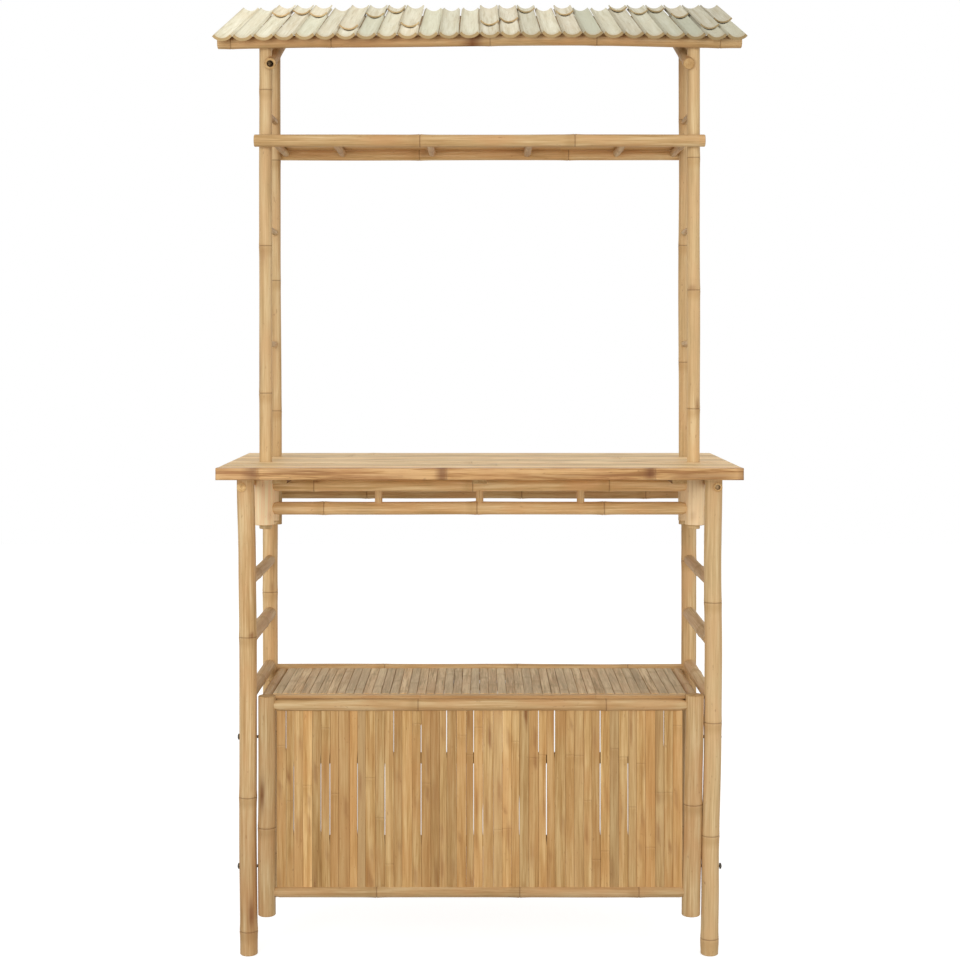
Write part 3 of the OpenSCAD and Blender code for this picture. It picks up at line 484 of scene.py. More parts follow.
for node, radius, tone, side in (("front_socket_left", 21, 0.44, 40), ("front_socket_right", 21, 0.2, -20),
                                 ("back_socket_left", 17, 0.2, 0), ("back_socket_right", 17, 0.2, 10)):
    cane(node, Z, radius * MM, skin=shaved_cane, wall=0.2, tone=tone, wobble=0.0, spacing=8 * MM,
         stains=[(0.02, side, 0.01, 0.006, 0.3)])

# How far the apron's rails reach into the sockets
APRON_BURY = (4 * MM, 4 * MM)
# The front apron rails' high tones are painted light that offsets the counter's shadow over them
cane("apron_upper_rail", X, 12.5 * MM, shift=(0, 0, 1.5 * MM), bury=APRON_BURY, rings=[0.093, 0.43, 0.72],
     tone=0.36, wobble=0.3, swell=1.8, neck=0.3,
     stains=[(0.1, -50, 0.008, 0.005, 0.7), (0.34, -40, 0.006, 0.006, 0.4)])
cane("apron_lower_rail", X, 13.7 * MM, shift=(0, 0, 1.2 * MM), bury=APRON_BURY, rings=[0.115, 0.44, 0.71],
     tone=0.22, wobble=0.5, swell=1.8, neck=0.3, stains=[(0.2, 20, 0.03, 0.005, 0.25)])
cane("back_apron_rail", X, 14 * MM, shift=(0, 0, -5 * MM), rings=[0.21, 0.56, 0.84], swell=1.8)

STRUT_RADIUS = 8 * MM
# How far a strut reaches into the rails
STRUT_BURY = 2 * MM
low, high = corners("apron_struts")
middle = (low + high) / 2
struts = []
for x in (low.x + STRUT_RADIUS, middle.x, high.x - STRUT_RADIUS):
    mesh = cane_mesh(high.z - low.z + 2 * STRUT_BURY, STRUT_RADIUS, hollow=CLOSED, tone=0.08, wobble=0.0,
                     steps=20)
    struts.append((mesh, Matrix.Translation((x, middle.y, low.z - STRUT_BURY))))
group("apron_struts", "apron_strut_culms", CANE_MATERIALS, struts)

PEG_LENGTH = 18 * MM
PEG_RADIUS = 10 * MM
low, high = corners("socket_pegs")
middle = (low + high) / 2
pegs = []
for x, way in ((high.x - PEG_LENGTH, 1), (low.x + PEG_LENGTH, -1)):
    mesh = cane_mesh(PEG_LENGTH, PEG_RADIUS, hollow=CLOSED, tone=0.25, wobble=0.0, steps=20, spacing=6 * MM)
    pegs.append((mesh, axis_matrix((x, middle.y, middle.z), (way, 0, 0))))
group("socket_pegs", "socket_peg_ends", CANE_MATERIALS, pegs)

# Canopy posts and rungs: the posts' nodes and stains were measured from the floor

FRONT_POST_RADIUS = 13.5 * MM
BACK_POST_RADIUS = 11 * MM
POST_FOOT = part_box("front_post_left")[0][2]
BACK_POST_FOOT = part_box("back_post_left")[0][2]
cane("front_post_left", Z, FRONT_POST_RADIUS, rings=[h - POST_FOOT for h in (0.9, 1.146, 1.459, 1.79)],
     stains=[(1.19 - POST_FOOT, -60, 0.05, 0.006, 0.45), (1.44 - POST_FOOT, -20, 0.02, 0.008, 0.3)],
     tone=0.07, greyness=0.3, swell=1.3)
cane("front_post_right", Z, FRONT_POST_RADIUS, rings=[h - POST_FOOT for h in (0.88, 1.113, 1.365, 1.646)],
     stains=[(1.12 - POST_FOOT, 30, 0.012, 0.005, 0.6), (1.37 - POST_FOOT, -25, 0.008, 0.01, 0.45)],
     tone=0.14, greyness=0.35, swell=1.3)
cane("back_post_left", Z, BACK_POST_RADIUS, rings=[h - BACK_POST_FOOT for h in (0.9, 1.102, 1.392, 1.66)],
     bend=[(0, 0.003, 0), (0.5, 0.001, 0), (1, 0, 0)], tone=0.03, greyness=0.3)
cane("back_post_right", Z, BACK_POST_RADIUS, rings=[h - BACK_POST_FOOT for h in (0.95, 1.21, 1.47, 1.75)],
     tone=0.03, greyness=0.3)

CANOPY_RUNG_RADIUS = 6.5 * MM
CANOPY_RUNGS = 3
for node in ("canopy_rungs_left", "canopy_rungs_right"):
    low, high = corners(node)
    rise = (high.z - low.z - 2 * CANOPY_RUNG_RADIUS) / (CANOPY_RUNGS - 1)
    rungs = []
    for i in range(CANOPY_RUNGS):
        mesh = cane_mesh(high.y - low.y, CANOPY_RUNG_RADIUS, rings=[rng.uniform(0.05, 0.13)], hollow=CLOSED,
                         tone=rng.uniform(-0.1, 0), greyness=0.1, steps=18)
        start = ((low.x + high.x) / 2, low.y, low.z + CANOPY_RUNG_RADIUS + i * rise)
        rungs.append((mesh, axis_matrix(start, (0, 1, 0))))
    group(node, node + "_culms", CANE_MATERIALS, rungs)

# Bottle shelf: its rails and cross bars

SHELF_RAIL_RADIUS = 13 * MM
cane("shelf_front_rail", X, SHELF_RAIL_RADIUS, rings=[0.35, 0.677], tone=-0.02, wobble=0.6, swell=1.6)
# The back rail's raised tone is painted light for the shade under the shelf
cane("shelf_back_rail", X, SHELF_RAIL_RADIUS, shift=(0, 0, -4 * MM), rings=[0.335, 0.669], tone=0.2,
     wobble=0.6, swell=1.4, stains=[(0.345, 10, 0.005, 0.006, 0.6)])

SHELF_BAR_RADIUS = 8 * MM
# Where the frame has the four bars between the outer ones
INNER_BARS = (-0.306, -0.106, 0.106, 0.306)
low, high = corners("shelf_cross_bars")
outer_bar = high.x - SHELF_BAR_RADIUS
shelf_bars = []
for x in (-outer_bar, *INNER_BARS, outer_bar):
    mesh = cane_mesh(high.y - low.y, SHELF_BAR_RADIUS, hollow=CLOSED, rings=[rng.uniform(0.06, 0.16)],
                     tone=rng.uniform(-0.1, 0.0), wobble=0.3, steps=20)
    shelf_bars.append((mesh, axis_matrix((x, low.y, (low.z + high.z) / 2), (0, 1, 0))))
group("shelf_cross_bars", "shelf_cross_bar_culms", CANE_MATERIALS, shelf_bars)

# Roof beams and rafters

BEAM_RADIUS = 10.5 * MM
FRONT_BEAM_RADIUS = 13 * MM
# The roof's front edge bows up: how far it stands up at a distance from the beam's left end
FRONT_BOW = [(0.0, 0.0), (0.25, 0.0035), (0.75, 0.0075), (1.1, 0.002)]
cane("roof_front_beam", X, FRONT_BEAM_RADIUS, shift=(0, 0, FRONT_BEAM_RADIUS - BEAM_RADIUS),
     rings=[0.028, 0.24, 0.575, 0.8, 1.06], wobble=0.4, swell=1.2,
     bend=[(along, -rise, 0) for along, rise in FRONT_BOW],
     stains=[(0.537, 0, 0.015, 0.05, 1.3), (0.3, 20, 0.05, 0.006, 0.3), (0.9, 25, 0.04, 0.006, 0.3)])
cane("roof_middle_beam", X, BEAM_RADIUS, rings=[0.15, 0.42, 0.7, 0.97], tone=-0.08,
     bend=[(along, -rise / 2, 0) for along, rise in FRONT_BOW])
cane("roof_back_beam", X, BEAM_RADIUS, rings=[0.22, 0.5, 0.78], tone=-0.05)

# A rafter rises to the back. Its slope comes from its box and its radius, in rounds until it no longer
# changes. The box also holds the rise of a node's ring.
RING_RISE = 0.6 * MM
SLOPE_ROUNDS = 8
for side, front_open in (("left", True), ("right", False)):
    low, high = corners(f"rafter_{side}")
    radius = (high.x - low.x) / 2 - RING_RISE
    run, rise = high.y - low.y, high.z - low.z
    slope = math.atan2(rise, run)
    for _ in range(SLOPE_ROUNDS):
        slope = math.atan2(rise - 2 * radius * math.cos(slope), run - 2 * radius * math.sin(slope))
    length = (run - 2 * radius * math.sin(slope)) / math.cos(slope)
    start = ((low.x + high.x) / 2, low.y + radius * math.sin(slope), low.z + radius * math.cos(slope))
    lone_cane(f"rafter_{side}", start, (0, math.cos(slope), math.sin(slope)), length, radius,
              rings=[0.1, 0.3], hollow=(front_open, True), tone=-0.04, wobble=0.5, wall=0.46)

# Cabinet's posts, rails and side canes

PANEL_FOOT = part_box("panel_post_left")[0][2]
cane("panel_post_left", Z, 18 * MM, bury=(0, -5 * MM), rings=[0.26 - PANEL_FOOT], hollow=(True, False),
     tone=-0.15, stains=[(0.33 - PANEL_FOOT, -28, 0.032, 0.006, 1.0)], swell=0.9)
cane("panel_post_right", Z, 19 * MM, bury=(0, -3 * MM), rings=[0.307 - PANEL_FOOT], hollow=(True, False),
     tone=-0.09, bend=[(0, -0.003, 0), (0.2, 0.0015, 0), (0.454, 0.0055, 0)], swell=0.9)
cane("panel_top_rail", X, 12 * MM, rings=[0.3, 0.685], tone=-0.1, wobble=0.5, swell=1.6, neck=0.25)
cane("panel_bottom_rail", X, 11 * MM, rings=[0.215, 0.508, 0.752], tone=-0.17, wobble=0.5, swell=1.6,
     neck=0.25, stains=[(0.235, 10, 0.004, 0.006, 0.6)])

SIDE_CANE_RADIUS = 12.5 * MM
# Radius of the frame's side cane with its ring, from which its slope is found
SIDE_CANE_CUT = 10.6 * MM
for side, way in (("left", -1), ("right", 1)):
    low, high = corners(f"cabinet_side_cane_{side}")
    inner, outer = (low.x, high.x) if way > 0 else (high.x, low.x)
    start = Vector((inner + way * SIDE_CANE_RADIUS, low.y, high.z - SIDE_CANE_RADIUS))
    end = start + Vector((outer - inner - way * 2 * SIDE_CANE_CUT, high.y - low.y,
                          low.z - high.z + 2 * SIDE_CANE_CUT))
    lone_cane(f"cabinet_side_cane_{side}", start, end - start, (end - start).length, SIDE_CANE_RADIUS,
              rings=[0.14], hollow=CLOSED, tone=-0.06, greyness=0.1, wobble=0.4)
cane("cabinet_back_rail", X, 10 * MM, rings=[0.25, 0.55, 0.8], tone=-0.02, greyness=0.1)


# Boards and slats


# Radius of the culm whose nodes show on a board
BOARD_CULM = 12 * MM
# The darker band under a board's node line: how far under, its reach and its strength
BOARD_BAND_UNDER = 8 * MM
BOARD_BAND_REACH = 7 * MM
BOARD_BAND = 0.3
# Waves per metre of a board's edge
EDGE_WAVES = 6


def board_mesh(length, width, thickness, crown=0.0, rings=(), tone=0.0, greyness=0.0, warmth=0.0, stains=(),
               edge=1.0 * MM, steps=4, spacing=40 * MM, sway=0.0, opening=(0, 0, 0), edge_painted_shade=0.4,
               line_strength=0.5):
    """A board along +Z from the origin, its back flat, its face towards -Y and crowned a little.

    A stain is (height, across, half length, half width, strength). An opening is the part of the right edge
    that stands back, as two shares of the length, and how far it does. How dark the edges are is painted
    shade, for the shadow in the gap beside the next board.
    """
    bm = new_piece_mesh()
    heights = [0.0] + skin_heights(length, rings, spacing, edge) + [length]
    row = chain(bm, [(-width / 2, 0, h) for h in heights])
    for cut in [edge] + [(width - 2 * edge) / steps] * steps + [edge]:
        grown = bmesh.ops.extrude_edge_only(bm, edges=row)["geom"]
        verts = [g for g in grown if isinstance(g, bmesh.types.BMVert)]
        row = [g for g in grown if isinstance(g, bmesh.types.BMEdge) and all(v in verts for v in g.verts)]
        bmesh.ops.translate(bm, vec=(cut, 0, 0), verts=verts)
    for v in bm.verts:
        at_edge = abs(v.co.x) > width / 2 - edge / 2 or v.co.z < edge / 2 or v.co.z > length - edge / 2
        bulge = crown * (1 - (2 * v.co.x / width) ** 2)
        ridge = sum(node_swell(v.co.z - ring) for ring in rings) * BOARD_CULM
        v.co.y = edge if at_edge else -bulge - ridge
    grown = bmesh.ops.extrude_face_region(bm, geom=list(bm.faces))["geom"]
    for g in grown:
        if isinstance(g, bmesh.types.BMVert):
            g.co.y = thickness
    bmesh.ops.recalc_face_normals(bm, faces=bm.faces)
    for face in bm.faces:
        face.material_index = CUT if abs(face.normal.z) > 0.8 else SKIN

    def board_marks(co):
        """Strength of the node line, the band under it, and the stains or the edges' painted shade at a
        place on the board.
        """
        stain = 0.0
        for height, across, half_length, half_width, strength in stains:
            off = ((co.z - height) / half_length) ** 4 + ((co.x - across) / half_width) ** 2
            stain += strength * math.exp(-off)
        # An edge gets painted shade for the shadow in the gap beside the next board
        beside = edge_painted_shade if abs(co.x) > width / 2 - edge / 2 else 0.0
        line = near_node(co.z, rings, NODE_LINE_REACH) * NODE_LINE * line_strength
        band = near_node(co.z, rings, BOARD_BAND_REACH, under=BOARD_BAND_UNDER) * BOARD_BAND
        return line, band, max(min(stain, MOST_STAIN), beside)

    colour_piece(bm, tone, greyness, board_marks, warmth)
    seed = rng.uniform(0, 99)
    for v in bm.verts:
        if v.co.x > width * 0.4 and opening[0] <= v.co.z / length <= opening[1]:
            v.co.x -= opening[2]
        v.co.x += sway * noise.noise(Vector((seed, 0, v.co.z * EDGE_WAVES)))
    return bm


# A board turned to lie along X or Y with its face up, or along X with its face to the front
FACE_UP_ALONG_X = Matrix(((0, 0, 1, 0), (1, 0, 0, 0), (0, -1, 0, 0), (0, 0, 0, 1)))
FACE_UP_ALONG_Y = Matrix(((-1, 0, 0, 0), (0, 0, 1, 0), (0, -1, 0, 0), (0, 0, 0, 1)))
FACE_FRONT_ALONG_X = Matrix(((0, 0, 1, 0), (0, 1, 0, 0), (-1, 0, 0, 0), (0, 0, 0, 1)))

# Counter: a front board with its skin side forward, and planks behind it

FRONT_BOARD = 24 * MM
low, high = corners("counter_front_plank")
FRONT_STAINS = [
    (0.072, -0.002, 0.013, 0.02, 0.6), (0.4545, 0, 0.0115, 0.04, 0.7), (0.17, -0.006, 0.06, 0.004, 0.4),
    (0.3, 0.005, 0.09, 0.003, 0.35), (0.66, 0.004, 0.07, 0.003, 0.35), (0.873, -0.003, 0.012, 0.014, 0.85),
    (0.98, 0.004, 0.07, 0.006, 0.5), (0.78, 0.002, 0.09, 0.003, 0.4), (1.062, 0, 0.006, 0.04, 0.45),
]
mesh = board_mesh(high.x - low.x, high.z - low.z, FRONT_BOARD, crown=0.4 * MM, rings=[0.086, 0.466, 0.886],
                  tone=-0.02, edge=2 * MM, steps=5, spacing=12 * MM, edge_painted_shade=0.15, stains=FRONT_STAINS)
place = Matrix.Translation((low.x, low.y, (low.z + high.z) / 2)) @ FACE_FRONT_ALONG_X
group("counter_front_plank", "counter_front_board", [skin_side_board, sawn_cane_end],
      [(mesh, place)])

# The frame's front plank is deeper than the front board. A narrow plank fills the rest of its place.
FIRST_GAP = 0.3 * MM
first_front = low.y + FRONT_BOARD + FIRST_GAP
fronts = [(first_front, high.y - first_front)]
PLANK_COUNT = 6
PLANK_GAP = 1.5 * MM
# A plank that is narrower than this shows no node
NARROW_PLANK = 60 * MM
PLANK_TONES = (0.12, -0.08, 0.13, 0.0, 0.16, -0.06, 0.1)
STAINS_PER_PLANK = 5
low, high = corners("counter_planks")
plank_width = (high.y - low.y - (PLANK_COUNT - 1) * PLANK_GAP) / PLANK_COUNT
fronts += [(low.y + i * (plank_width + PLANK_GAP), plank_width) for i in range(PLANK_COUNT)]
planks = []
for (front, width), tone in zip(fronts, PLANK_TONES):
    stains = [(rng.uniform(0.05, 1.0), rng.uniform(-0.03, 0.03), rng.uniform(0.01, 0.05), 0.006,
               rng.uniform(0.2, 0.7)) for _ in range(STAINS_PER_PLANK)]
    mesh = board_mesh(high.x - low.x, width, high.z - low.z, edge=1.6 * MM, tone=tone,
                      greyness=rng.uniform(0, 0.2), steps=24, spacing=14 * MM, edge_painted_shade=0.7, stains=stains,
                      rings=[rng.uniform(0.1, 0.9)] if width > NARROW_PLANK else [])
    place = Matrix.Translation((low.x, front + width / 2, high.z)) @ FACE_UP_ALONG_X
    planks.append((mesh, place))
group("counter_planks", "counter_boards", [sanded_plank, sawn_cane_end], planks)

BATTEN_WIDTH = 30 * MM
# A finished batten begins this far behind the front end of the frame's, out of sight
BATTEN_CUT = 46 * MM
low, high = corners("counter_battens")
battens = []
for x in (low.x + BATTEN_WIDTH / 2, 0, high.x - BATTEN_WIDTH / 2):
    mesh = board_mesh(high.y - low.y - BATTEN_CUT, BATTEN_WIDTH, high.z - low.z, tone=-0.15)
    battens.append((mesh, Matrix.Translation((x, low.y + BATTEN_CUT, high.z)) @ FACE_UP_ALONG_Y))
group("counter_battens", "counter_batten_strips", [shaded_sawn_batten, sawn_cane_end], battens)

# Bottle shelf's slats

SHELF_SLATS = 6
SLAT_GAP = 1.2 * MM
low, high = corners("shelf_slats")
shelf_pitch = (high.y - low.y + SLAT_GAP) / SHELF_SLATS
slats = []
for i in range(SHELF_SLATS):
    # The slats' raised tones are painted light on their undersides, which are seen in shade
    mesh = board_mesh(high.x - low.x, shelf_pitch - SLAT_GAP, high.z - low.z, crown=0.3 * MM,
                      tone=rng.uniform(0.12, 0.28), rings=[rng.uniform(0.1, 0.4), rng.uniform(0.5, 0.8)])
    y = low.y + (i + 0.5) * shelf_pitch - SLAT_GAP / 2
    slats.append((mesh, Matrix.Translation((low.x, y, high.z)) @ FACE_UP_ALONG_X))
group("shelf_slats", "shelf_split_slats", [split_slat, sawn_cane_end], slats)

# Cabinet front: upright slats with a light gap here and there, and two battens behind them

PANEL_SLATS = 45
PANEL_CROWN = 0.5 * MM
# How far the edge between two slats strays from its even place, and the crack that is left at it
EDGE_STRAY = 2.5 * MM
PANEL_CRACK = 0.1 * MM
# Share of the slats that show a node, and the warmth that one of them may have
SHARE_WITH_NODE = 0.6
SLAT_WARMTH = [0, 0, 0, 0, 0.2, 0.35]
# Light gaps on a slat's right side: from and to which share of its height, and how wide in millimetres
LIGHT_GAPS = {
    0: (0.76, 1, 1.0), 1: (0.3, 0.7, 0.9), 4: (0.3, 0.72, 1.0), 5: (0.28, 0.72, 1.2),
    8: (0.3, 0.75, 0.9), 11: (0.28, 0.7, 1.1), 12: (0.76, 1, 0.8), 15: (0.28, 0.9, 1.0),
    18: (0.76, 1, 1.4), 21: (0.3, 1, 0.9), 22: (0.3, 0.45, 0.7), 26: (0.3, 0.5, 0.7),
    28: (0.76, 1, 1.0), 29: (0.28, 0.74, 1.7), 30: (0.76, 1, 1.9), 35: (0.3, 1, 1.5),
    38: (0.3, 0.73, 1.2), 42: (0.8, 1, 1.0),
}
low, high = corners("panel_slats")
panel_pitch = (high.x - low.x + SLAT_GAP) / PANEL_SLATS
slats = []
left = low.x
for i in range(PANEL_SLATS):
    right = low.x + (i + 1) * panel_pitch - SLAT_GAP
    if i < PANEL_SLATS - 1:
        right += rng.uniform(-EDGE_STRAY, EDGE_STRAY)
    gap_foot, gap_head, gap_width = LIGHT_GAPS.get(i, (0, 0, 0))
    rings = [rng.uniform(0.03, 0.35)] if rng.random() < SHARE_WITH_NODE else []
    stains = [(rng.uniform(0, 0.38), rng.uniform(-0.006, 0.006), rng.uniform(0.006, 0.03), 0.003, 0.5)
              for _ in range(rng.choice([0, 1, 2, 3]))]
    mesh = board_mesh(high.z - low.z, right - left, high.y - low.y, crown=PANEL_CROWN, edge=0.5 * MM,
                      rings=rings, tone=rng.gauss(0.0, 0.1), greyness=max(0, rng.gauss(0, 0.25)),
                      warmth=rng.choice(SLAT_WARMTH), stains=stains, steps=3, spacing=18 * MM,
                      sway=0.08 * MM, opening=(gap_foot, gap_head, gap_width * MM), line_strength=0.3)
    slats.append((mesh, Matrix.Translation(((left + right) / 2, low.y + PANEL_CROWN, low.z))))
    left = right + PANEL_CRACK
group("panel_slats", "cabinet_front_slats", [split_slat, sawn_cane_end], slats)

PANEL_BATTEN = 22 * MM
low, high = corners("panel_battens")
battens = []
for z in (low.z + PANEL_BATTEN / 2, high.z - PANEL_BATTEN / 2):
    mesh = board_mesh(high.x - low.x, PANEL_BATTEN, high.y - low.y, tone=-0.05, rings=[0.2, 0.5],
                      edge=0.6 * MM)
    battens.append((mesh, Matrix.Translation((low.x, low.y, z)) @ FACE_FRONT_ALONG_X))
group("panel_battens", "cabinet_front_battens", [shaded_sawn_batten, sawn_cane_end], battens)

# Cabinet top: a strip in front, slats that fan out a little to the back, and bearers under them

low, high = corners("cabinet_top_strip")
mesh = board_mesh(high.x - low.x, high.y - low.y, high.z - low.z, tone=0.16, greyness=0.3,
                  rings=[0.3, 0.66], stains=[(0.45, 0, 0.03, 0.008, 0.3)])
place = Matrix.Translation((low.x, (low.y + high.y) / 2, high.z)) @ FACE_UP_ALONG_X
group("cabinet_top_strip", "cabinet_top_edge", [split_slat, sawn_cane_end], [(mesh, place)])

TOP_SLATS = 46
TOP_SLAT_THICKNESS = 6 * MM
# Gap between the outer slats and the side canes at the front
SIDE_CANE_GAP = 0.5 * MM
low, high = corners("cabinet_top_slats")
run = high.y - low.y
fall_angle = math.atan2(high.z - low.z - TOP_SLAT_THICKNESS, run)
fall = Matrix.Rotation(-fall_angle, 4, "X")
front_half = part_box("cabinet_side_cane_right")[0][0] - SIDE_CANE_GAP
top_pitch = 2 * front_half / TOP_SLATS
slats = []
for i in range(TOP_SLATS):
    x = (i + 0.5 - TOP_SLATS / 2) * top_pitch
    fan = math.atan2((high.x - front_half) * x / front_half, run)
    width = top_pitch - rng.choice([0.1, 0.2, 0.5]) * MM
    mesh = board_mesh(run, width, TOP_SLAT_THICKNESS, crown=0.8 * MM, edge_painted_shade=rng.choice([0.05, 0.2, 0.5]),
                      rings=[rng.uniform(0.02, 0.31)], tone=rng.gauss(0.27, 0.07),
                      greyness=rng.uniform(0, 0.5), steps=3, spacing=45 * MM, sway=0.4 * MM)
    place = Matrix.Translation((x, low.y, high.z)) @ Matrix.Rotation(-fan, 4, "Z") @ fall @ FACE_UP_ALONG_Y
    slats.append((mesh, place))
group("cabinet_top_slats", "cabinet_top_split_slats", [dry_slat, sawn_cane_end], slats)

BEARER_WIDTH = 24 * MM
BEARER_THICKNESS = 12 * MM
# How far the slats fan out on each side, from the cabinet's front to its back
FAN_GAIN = 6 * MM
low, high = corners("cabinet_top_bearers")
bearers = []
for t in (0.0, 0.5, 1.0):
    # The first bearer lies a tenth of the way back, the last nine tenths
    share = 0.1 + 0.8 * t
    y = low.y + BEARER_WIDTH / 2 + t * (high.y - low.y - BEARER_WIDTH)
    z = high.z + t * (low.z + BEARER_THICKNESS - high.z)
    half = front_half + FAN_GAIN * share
    mesh = board_mesh(2 * half, BEARER_WIDTH, BEARER_THICKNESS, tone=-0.05)
    bearers.append((mesh, Matrix.Translation((-half, y, z)) @ fall @ FACE_UP_ALONG_X))
group("cabinet_top_bearers", "cabinet_top_bearer_strips", [shaded_sawn_batten, sawn_cane_end], bearers)


# Roof tiles


# A flatter split than the frame's, with a thicker wall and the same width
TILE_RADIUS = 27.4 * MM
TILE_ARC = math.radians(100)
LOWER_WALL = 6 * MM
UPPER_WALL = 3.4 * MM
ROOF_SLOPE = math.radians(18)
# Height of the frame's tile from its lowest line to its rim
FRAME_TILE_RISE = 12.5 * MM
TILE_COUNT = 26
# A tile that is a little narrower than its pitch leaves the light gap between columns
TILE_HALF = 21.05 * MM
# How far the worn front edge reaches back
WORN_FRONT = 26 * MM
# Share of the arc from the middle of a tile to its rim, and how dark the painted shade on that rim is: it
# stands for the shadow in the gap beside the next column
RIM_SHARE = 0.47
RIM_PAINTED_SHADE = 0.3
# Reach and strength of the line across a tile at its culm's node
TILE_LINE_REACH = 1.2 * MM
TILE_LINE = 0.12
# How much of a node's swell a tile shows: inside it is a hollow, outside a rise
INNER_SWELL, OUTER_SWELL = -0.3, 0.6
# How far a tile's wall is from round, as a share, and the waves of that per metre across and along the tile
TILE_UNROUND = 0.02
ACROSS_WAVES = 60
ALONG_WAVES = 7
# How ragged a tile's ends are, the waves of that per metre, and the length that it moves
RAGGED_END = 1.5 * MM
RAGGED_WAVES = 90
END_ZONE = 3 * MM


def tile_mesh(length, wall, rings, tone, greyness, skew=0.0, front_wear=0.8):
    """A split culm along +Z, its hollow towards -Y: a row of vertices spun through the arc, with a wall.

    A skewed tile leans sideways by that much for each metre. front_wear is how worn its front edge is.
    """
    bm = new_piece_mesh()
    heights = [0.0] + skin_heights(length, rings, spacing=40 * MM, rim=2 * MM) + [length]
    edges = chain(bm, [(0, TILE_RADIUS, h) for h in heights])
    bmesh.ops.rotate(bm, verts=bm.verts, cent=(0, 0, 0), matrix=Matrix.Rotation(-TILE_ARC / 2, 3, "Z"))
    bmesh.ops.spin(bm, geom=edges + list(bm.verts), cent=(0, 0, 0), axis=(0, 0, 1), angle=TILE_ARC,
                   steps=10)
    bmesh.ops.recalc_face_normals(bm, faces=bm.faces)
    first = next(iter(bm.faces))
    if first.normal.dot(first.calc_center_median() * Vector((1, 1, 0))) < 0:
        bmesh.ops.reverse_faces(bm, faces=bm.faces)
    bmesh.ops.solidify(bm, geom=list(bm.faces), thickness=wall)
    bmesh.ops.recalc_face_normals(bm, faces=bm.faces)
    for face in bm.faces:
        middle = face.calc_center_median()
        outside = math.hypot(middle.x, middle.y) > TILE_RADIUS - 1 * MM
        face.material_index = RIM if abs(face.normal.z) > 0.7 else OUTER if outside else INNER

    def tile_marks(co):
        """Strength of the node line, the worn front edge and the rim's painted shade at a place on the tile.
        """
        line = near_node(co.z, rings, TILE_LINE_REACH) * TILE_LINE
        worn = math.exp(-((co.z / WORN_FRONT) ** 2)) * front_wear
        # One rim gets painted shade for the shadow in the gap beside the next column
        rim_painted_shade = RIM_PAINTED_SHADE if math.atan2(co.x, co.y) > TILE_ARC * RIM_SHARE else 0.0
        return line, worn, rim_painted_shade

    colour_piece(bm, tone, greyness, tile_marks)
    seed = Vector([rng.uniform(-9, 9) for _ in range(3)])
    for v in bm.verts:
        x, y, z = v.co
        inside = math.hypot(x, y) < TILE_RADIUS - wall / 2
        ridge = sum(node_swell(z - ring) for ring in rings)
        uneven = Vector((x * ACROSS_WAVES, y * ACROSS_WAVES, z * ALONG_WAVES)) + seed
        out = 1 + (INNER_SWELL if inside else OUTER_SWELL) * ridge + TILE_UNROUND * noise.noise(uneven)
        ragged = RAGGED_END * noise.noise(Vector((x * RAGGED_WAVES, 5, 0)) + seed)
        at_end = z < END_ZONE or z > length - END_ZONE
        v.co = (x * out + skew * z, y * out, z + (ragged if at_end else 0))
    return bm


beam_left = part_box("roof_front_beam")[0][0]
low, high = corners("roof_lower_tiles")
tile_length = (high.y - low.y - FRAME_TILE_RISE * math.sin(ROOF_SLOPE)) / math.cos(ROOF_SLOPE)
# The lowest point of the tiles' front edge
tile_front = Vector((0, low.y + FRAME_TILE_RISE * math.sin(ROOF_SLOPE), low.z))
tile_pitch = (high.x - low.x - 2 * TILE_HALF) / (TILE_COUNT - 1)
columns = [low.x + TILE_HALF + i * tile_pitch for i in range(TILE_COUNT)]


def tile_place(x, start, lift):
    """A tile's place on the roof, from its foot's way up the slope and its axis's lift square to it."""
    bow = follow(FRONT_BOW, x - beam_left)
    slope = Matrix.Rotation(ROOF_SLOPE - bow / tile_length, 4, "X")
    foot = Matrix.Translation((x, tile_front.y, tile_front.z + bow))
    return foot @ slope @ Matrix.Translation((0, start, lift)) @ FACE_UP_ALONG_Y


# A tile's tone at the roof's middle, its change for each metre to the right, and its scatter
TILE_TONE = -0.02
TONE_SLOPE = -0.34
TONE_SCATTER = 0.04


def tile_tone(x):
    """The tone of a tile: paler on the left, as in the photograph."""
    return rng.gauss(0.0, TONE_SCATTER) + TILE_TONE + TONE_SLOPE * x


TILE_MATERIALS = [inner_face, split_rim, tile_skin]
tiles = []
for x in columns:
    start = rng.uniform(0, 5) * MM
    mesh = tile_mesh(tile_length - start - rng.uniform(0, 4) * MM, LOWER_WALL, [rng.uniform(0.06, 0.4)],
                     tile_tone(x), rng.uniform(0, 0.8), rng.uniform(-0.004, 0.004))
    tiles.append((mesh, tile_place(x, start, TILE_RADIUS)))
group("roof_lower_tiles", "roof_lower_split_tiles", TILE_MATERIALS, tiles)

# Column of each upper tile, counted from the left, and its length as a share of a lower one's
UPPER_TILES = [(3, 0.285), (4, 0.2), (5, 0.305), (7, 0.8), (8, 0.33), (9, 0.14), (10, 0.71), (14, 0.665),
               (15, 0.55), (16, 0.13), (18, 0.255), (21, 0.085), (22, 0.2), (23, 0.115), (24, 0.34),
               (25, 0.75), (26, 0.52)]
UPPER_LIFT = 8.2 * MM
# An upper tile that is shorter than this shows no node
SHORT_TILE = 0.15
tiles = []
for column, share in UPPER_TILES:
    x = columns[column - 1]
    length = share * tile_length
    rings = [length * rng.uniform(0.3, 0.8)] if length > SHORT_TILE else []
    mesh = tile_mesh(length, UPPER_WALL, rings, tile_tone(x), rng.uniform(0, 0.4), front_wear=0.2)
    tiles.append((mesh, tile_place(x, tile_length - length, TILE_RADIUS + UPPER_LIFT)))
group("roof_upper_tiles", "roof_upper_split_tiles", TILE_MATERIALS, tiles)

# Screws and nails keep the frame's shapes

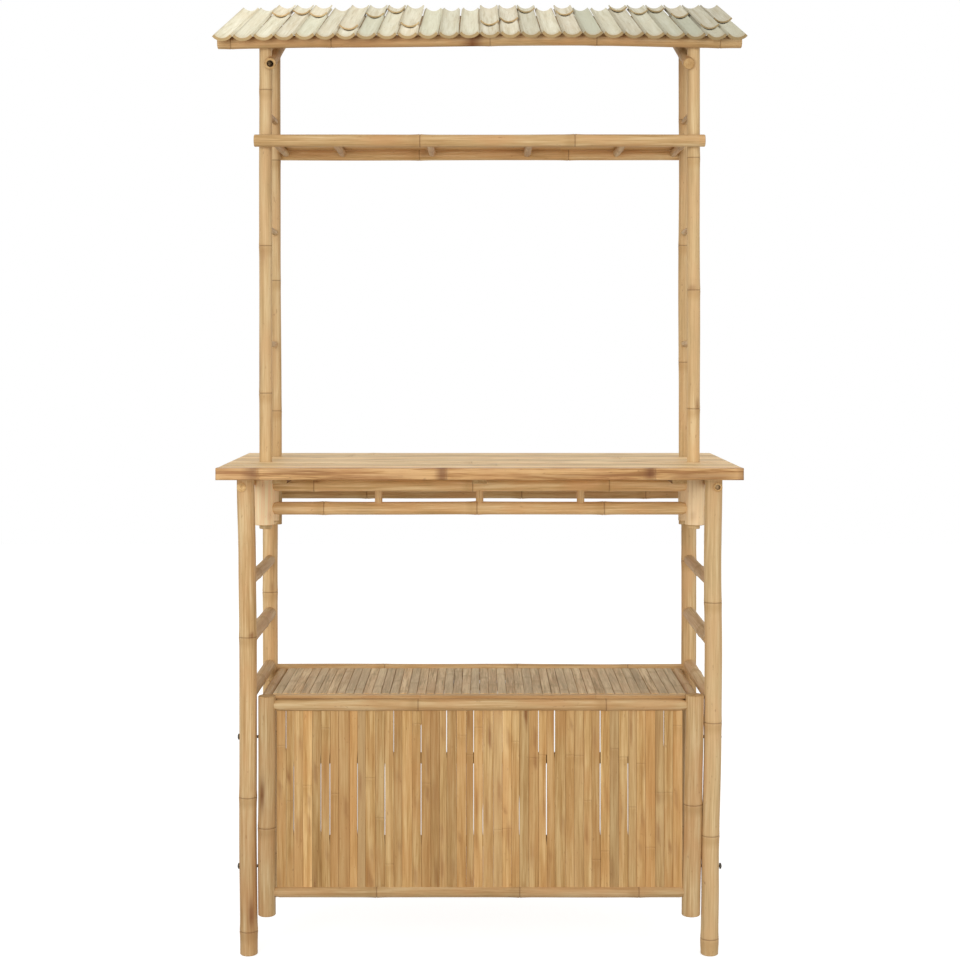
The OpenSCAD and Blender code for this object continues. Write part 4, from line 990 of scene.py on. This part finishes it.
for node in ("panel_bolts", "leg_nails", "socket_screws"):
    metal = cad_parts[node]
    metal.data.materials.clear()
    metal.data.materials.append(blackened_steel)


# Floor, light and camera


def seen_directly(tree):
    """1 where the camera sees a surface, in a mirror or through glass too, 0 where it only gives light."""
    path = add(tree, "ShaderNodeLightPath").outputs
    seen = path["Is Camera Ray"]
    for ray in ("Is Glossy Ray", "Is Transmission Ray"):
        seen = add(tree, "ShaderNodeMath", {0: seen, 1: path[ray]}, operation="ADD",
                   use_clamp=True).outputs[0]
    return seen


# Glow that makes the floor as white as the backdrop to the camera
FLOOR_GLOW = 0.74


def bright_floor():
    """Matt pale studio floor. The camera sees it as white as the backdrop, with the bar's shadow on it."""
    material, tree, surface = new_material("pale_studio_floor")
    surface.inputs["Base Color"].default_value = colour("#b4b4b2")
    surface.inputs["Roughness"].default_value = 0.9
    surface.inputs["Emission Color"].default_value = (1, 1, 1, 1)
    glow = add(tree, "ShaderNodeMapRange", {"Value": seen_directly(tree), "To Max": FLOOR_GLOW})
    tree.links.new(glow.outputs[0], surface.inputs["Emission Strength"])
    return material


FLOOR_SIZE = 14.0
bm = bmesh.new()
bmesh.ops.create_grid(bm, x_segments=1, y_segments=1, size=FLOOR_SIZE / 2)
floor_mesh = bpy.data.meshes.new("studio_floor")
bm.to_mesh(floor_mesh)
bm.free()
floor_mesh.materials.append(bright_floor())
floor = bpy.data.objects.new("studio_floor", floor_mesh)
bpy.context.collection.objects.link(floor)

# Strength of the light from all around. The camera sees the backdrop at 1, which is white.
LIGHT_LEVEL = 0.64
world = bpy.data.worlds.new("white_studio")
bpy.context.scene.world = world
world.use_nodes = True
sky = world.node_tree
background = sky.nodes["Background"]
background.inputs["Color"].default_value = (1, 1, 1, 1)
strength = add(sky, "ShaderNodeMapRange", {"Value": seen_directly(sky), "To Min": LIGHT_LEVEL})
sky.links.new(strength.outputs[0], background.inputs["Strength"])


def soft_light(name, place, target, size, power):
    """A square studio lamp that faces the target."""
    lamp = bpy.data.lights.new(name, "AREA")
    lamp.size = size
    lamp.energy = power
    holder = bpy.data.objects.new(name, lamp)
    holder.location = place
    holder.rotation_euler = (Vector(target) - Vector(place)).to_track_quat("-Z", "Y").to_euler()
    bpy.context.collection.objects.link(holder)


# What the lamps face: the bar at its counter's height
MIDDLE = (0, 0, 1.0)
soft_light("key_light", (-1.9, -4.3, 1.9), MIDDLE, 2.4, 85)
soft_light("fill_light", (2.8, -3.4, 1.6), MIDDLE, 2.4, 38)
soft_light("top_light", (0, 0.4, 4.4), MIDDLE, 3.0, 34)

camera = bpy.data.objects.new("photo_view", bpy.data.cameras.new("photo_view"))
camera.location = (0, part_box("front_leg_left")[0][1] + FRONT_LEG_RADIUS - VIEW_DISTANCE, VIEW_HEIGHT)
camera.rotation_euler = (math.pi / 2, 0, 0)
camera.data.lens = LENS
camera.data.sensor_width = 36.0
camera.data.shift_x, camera.data.shift_y = SHIFT
bpy.context.collection.objects.link(camera)
bpy.context.scene.camera = camera
bpy.context.scene.view_settings.view_transform = "Standard"
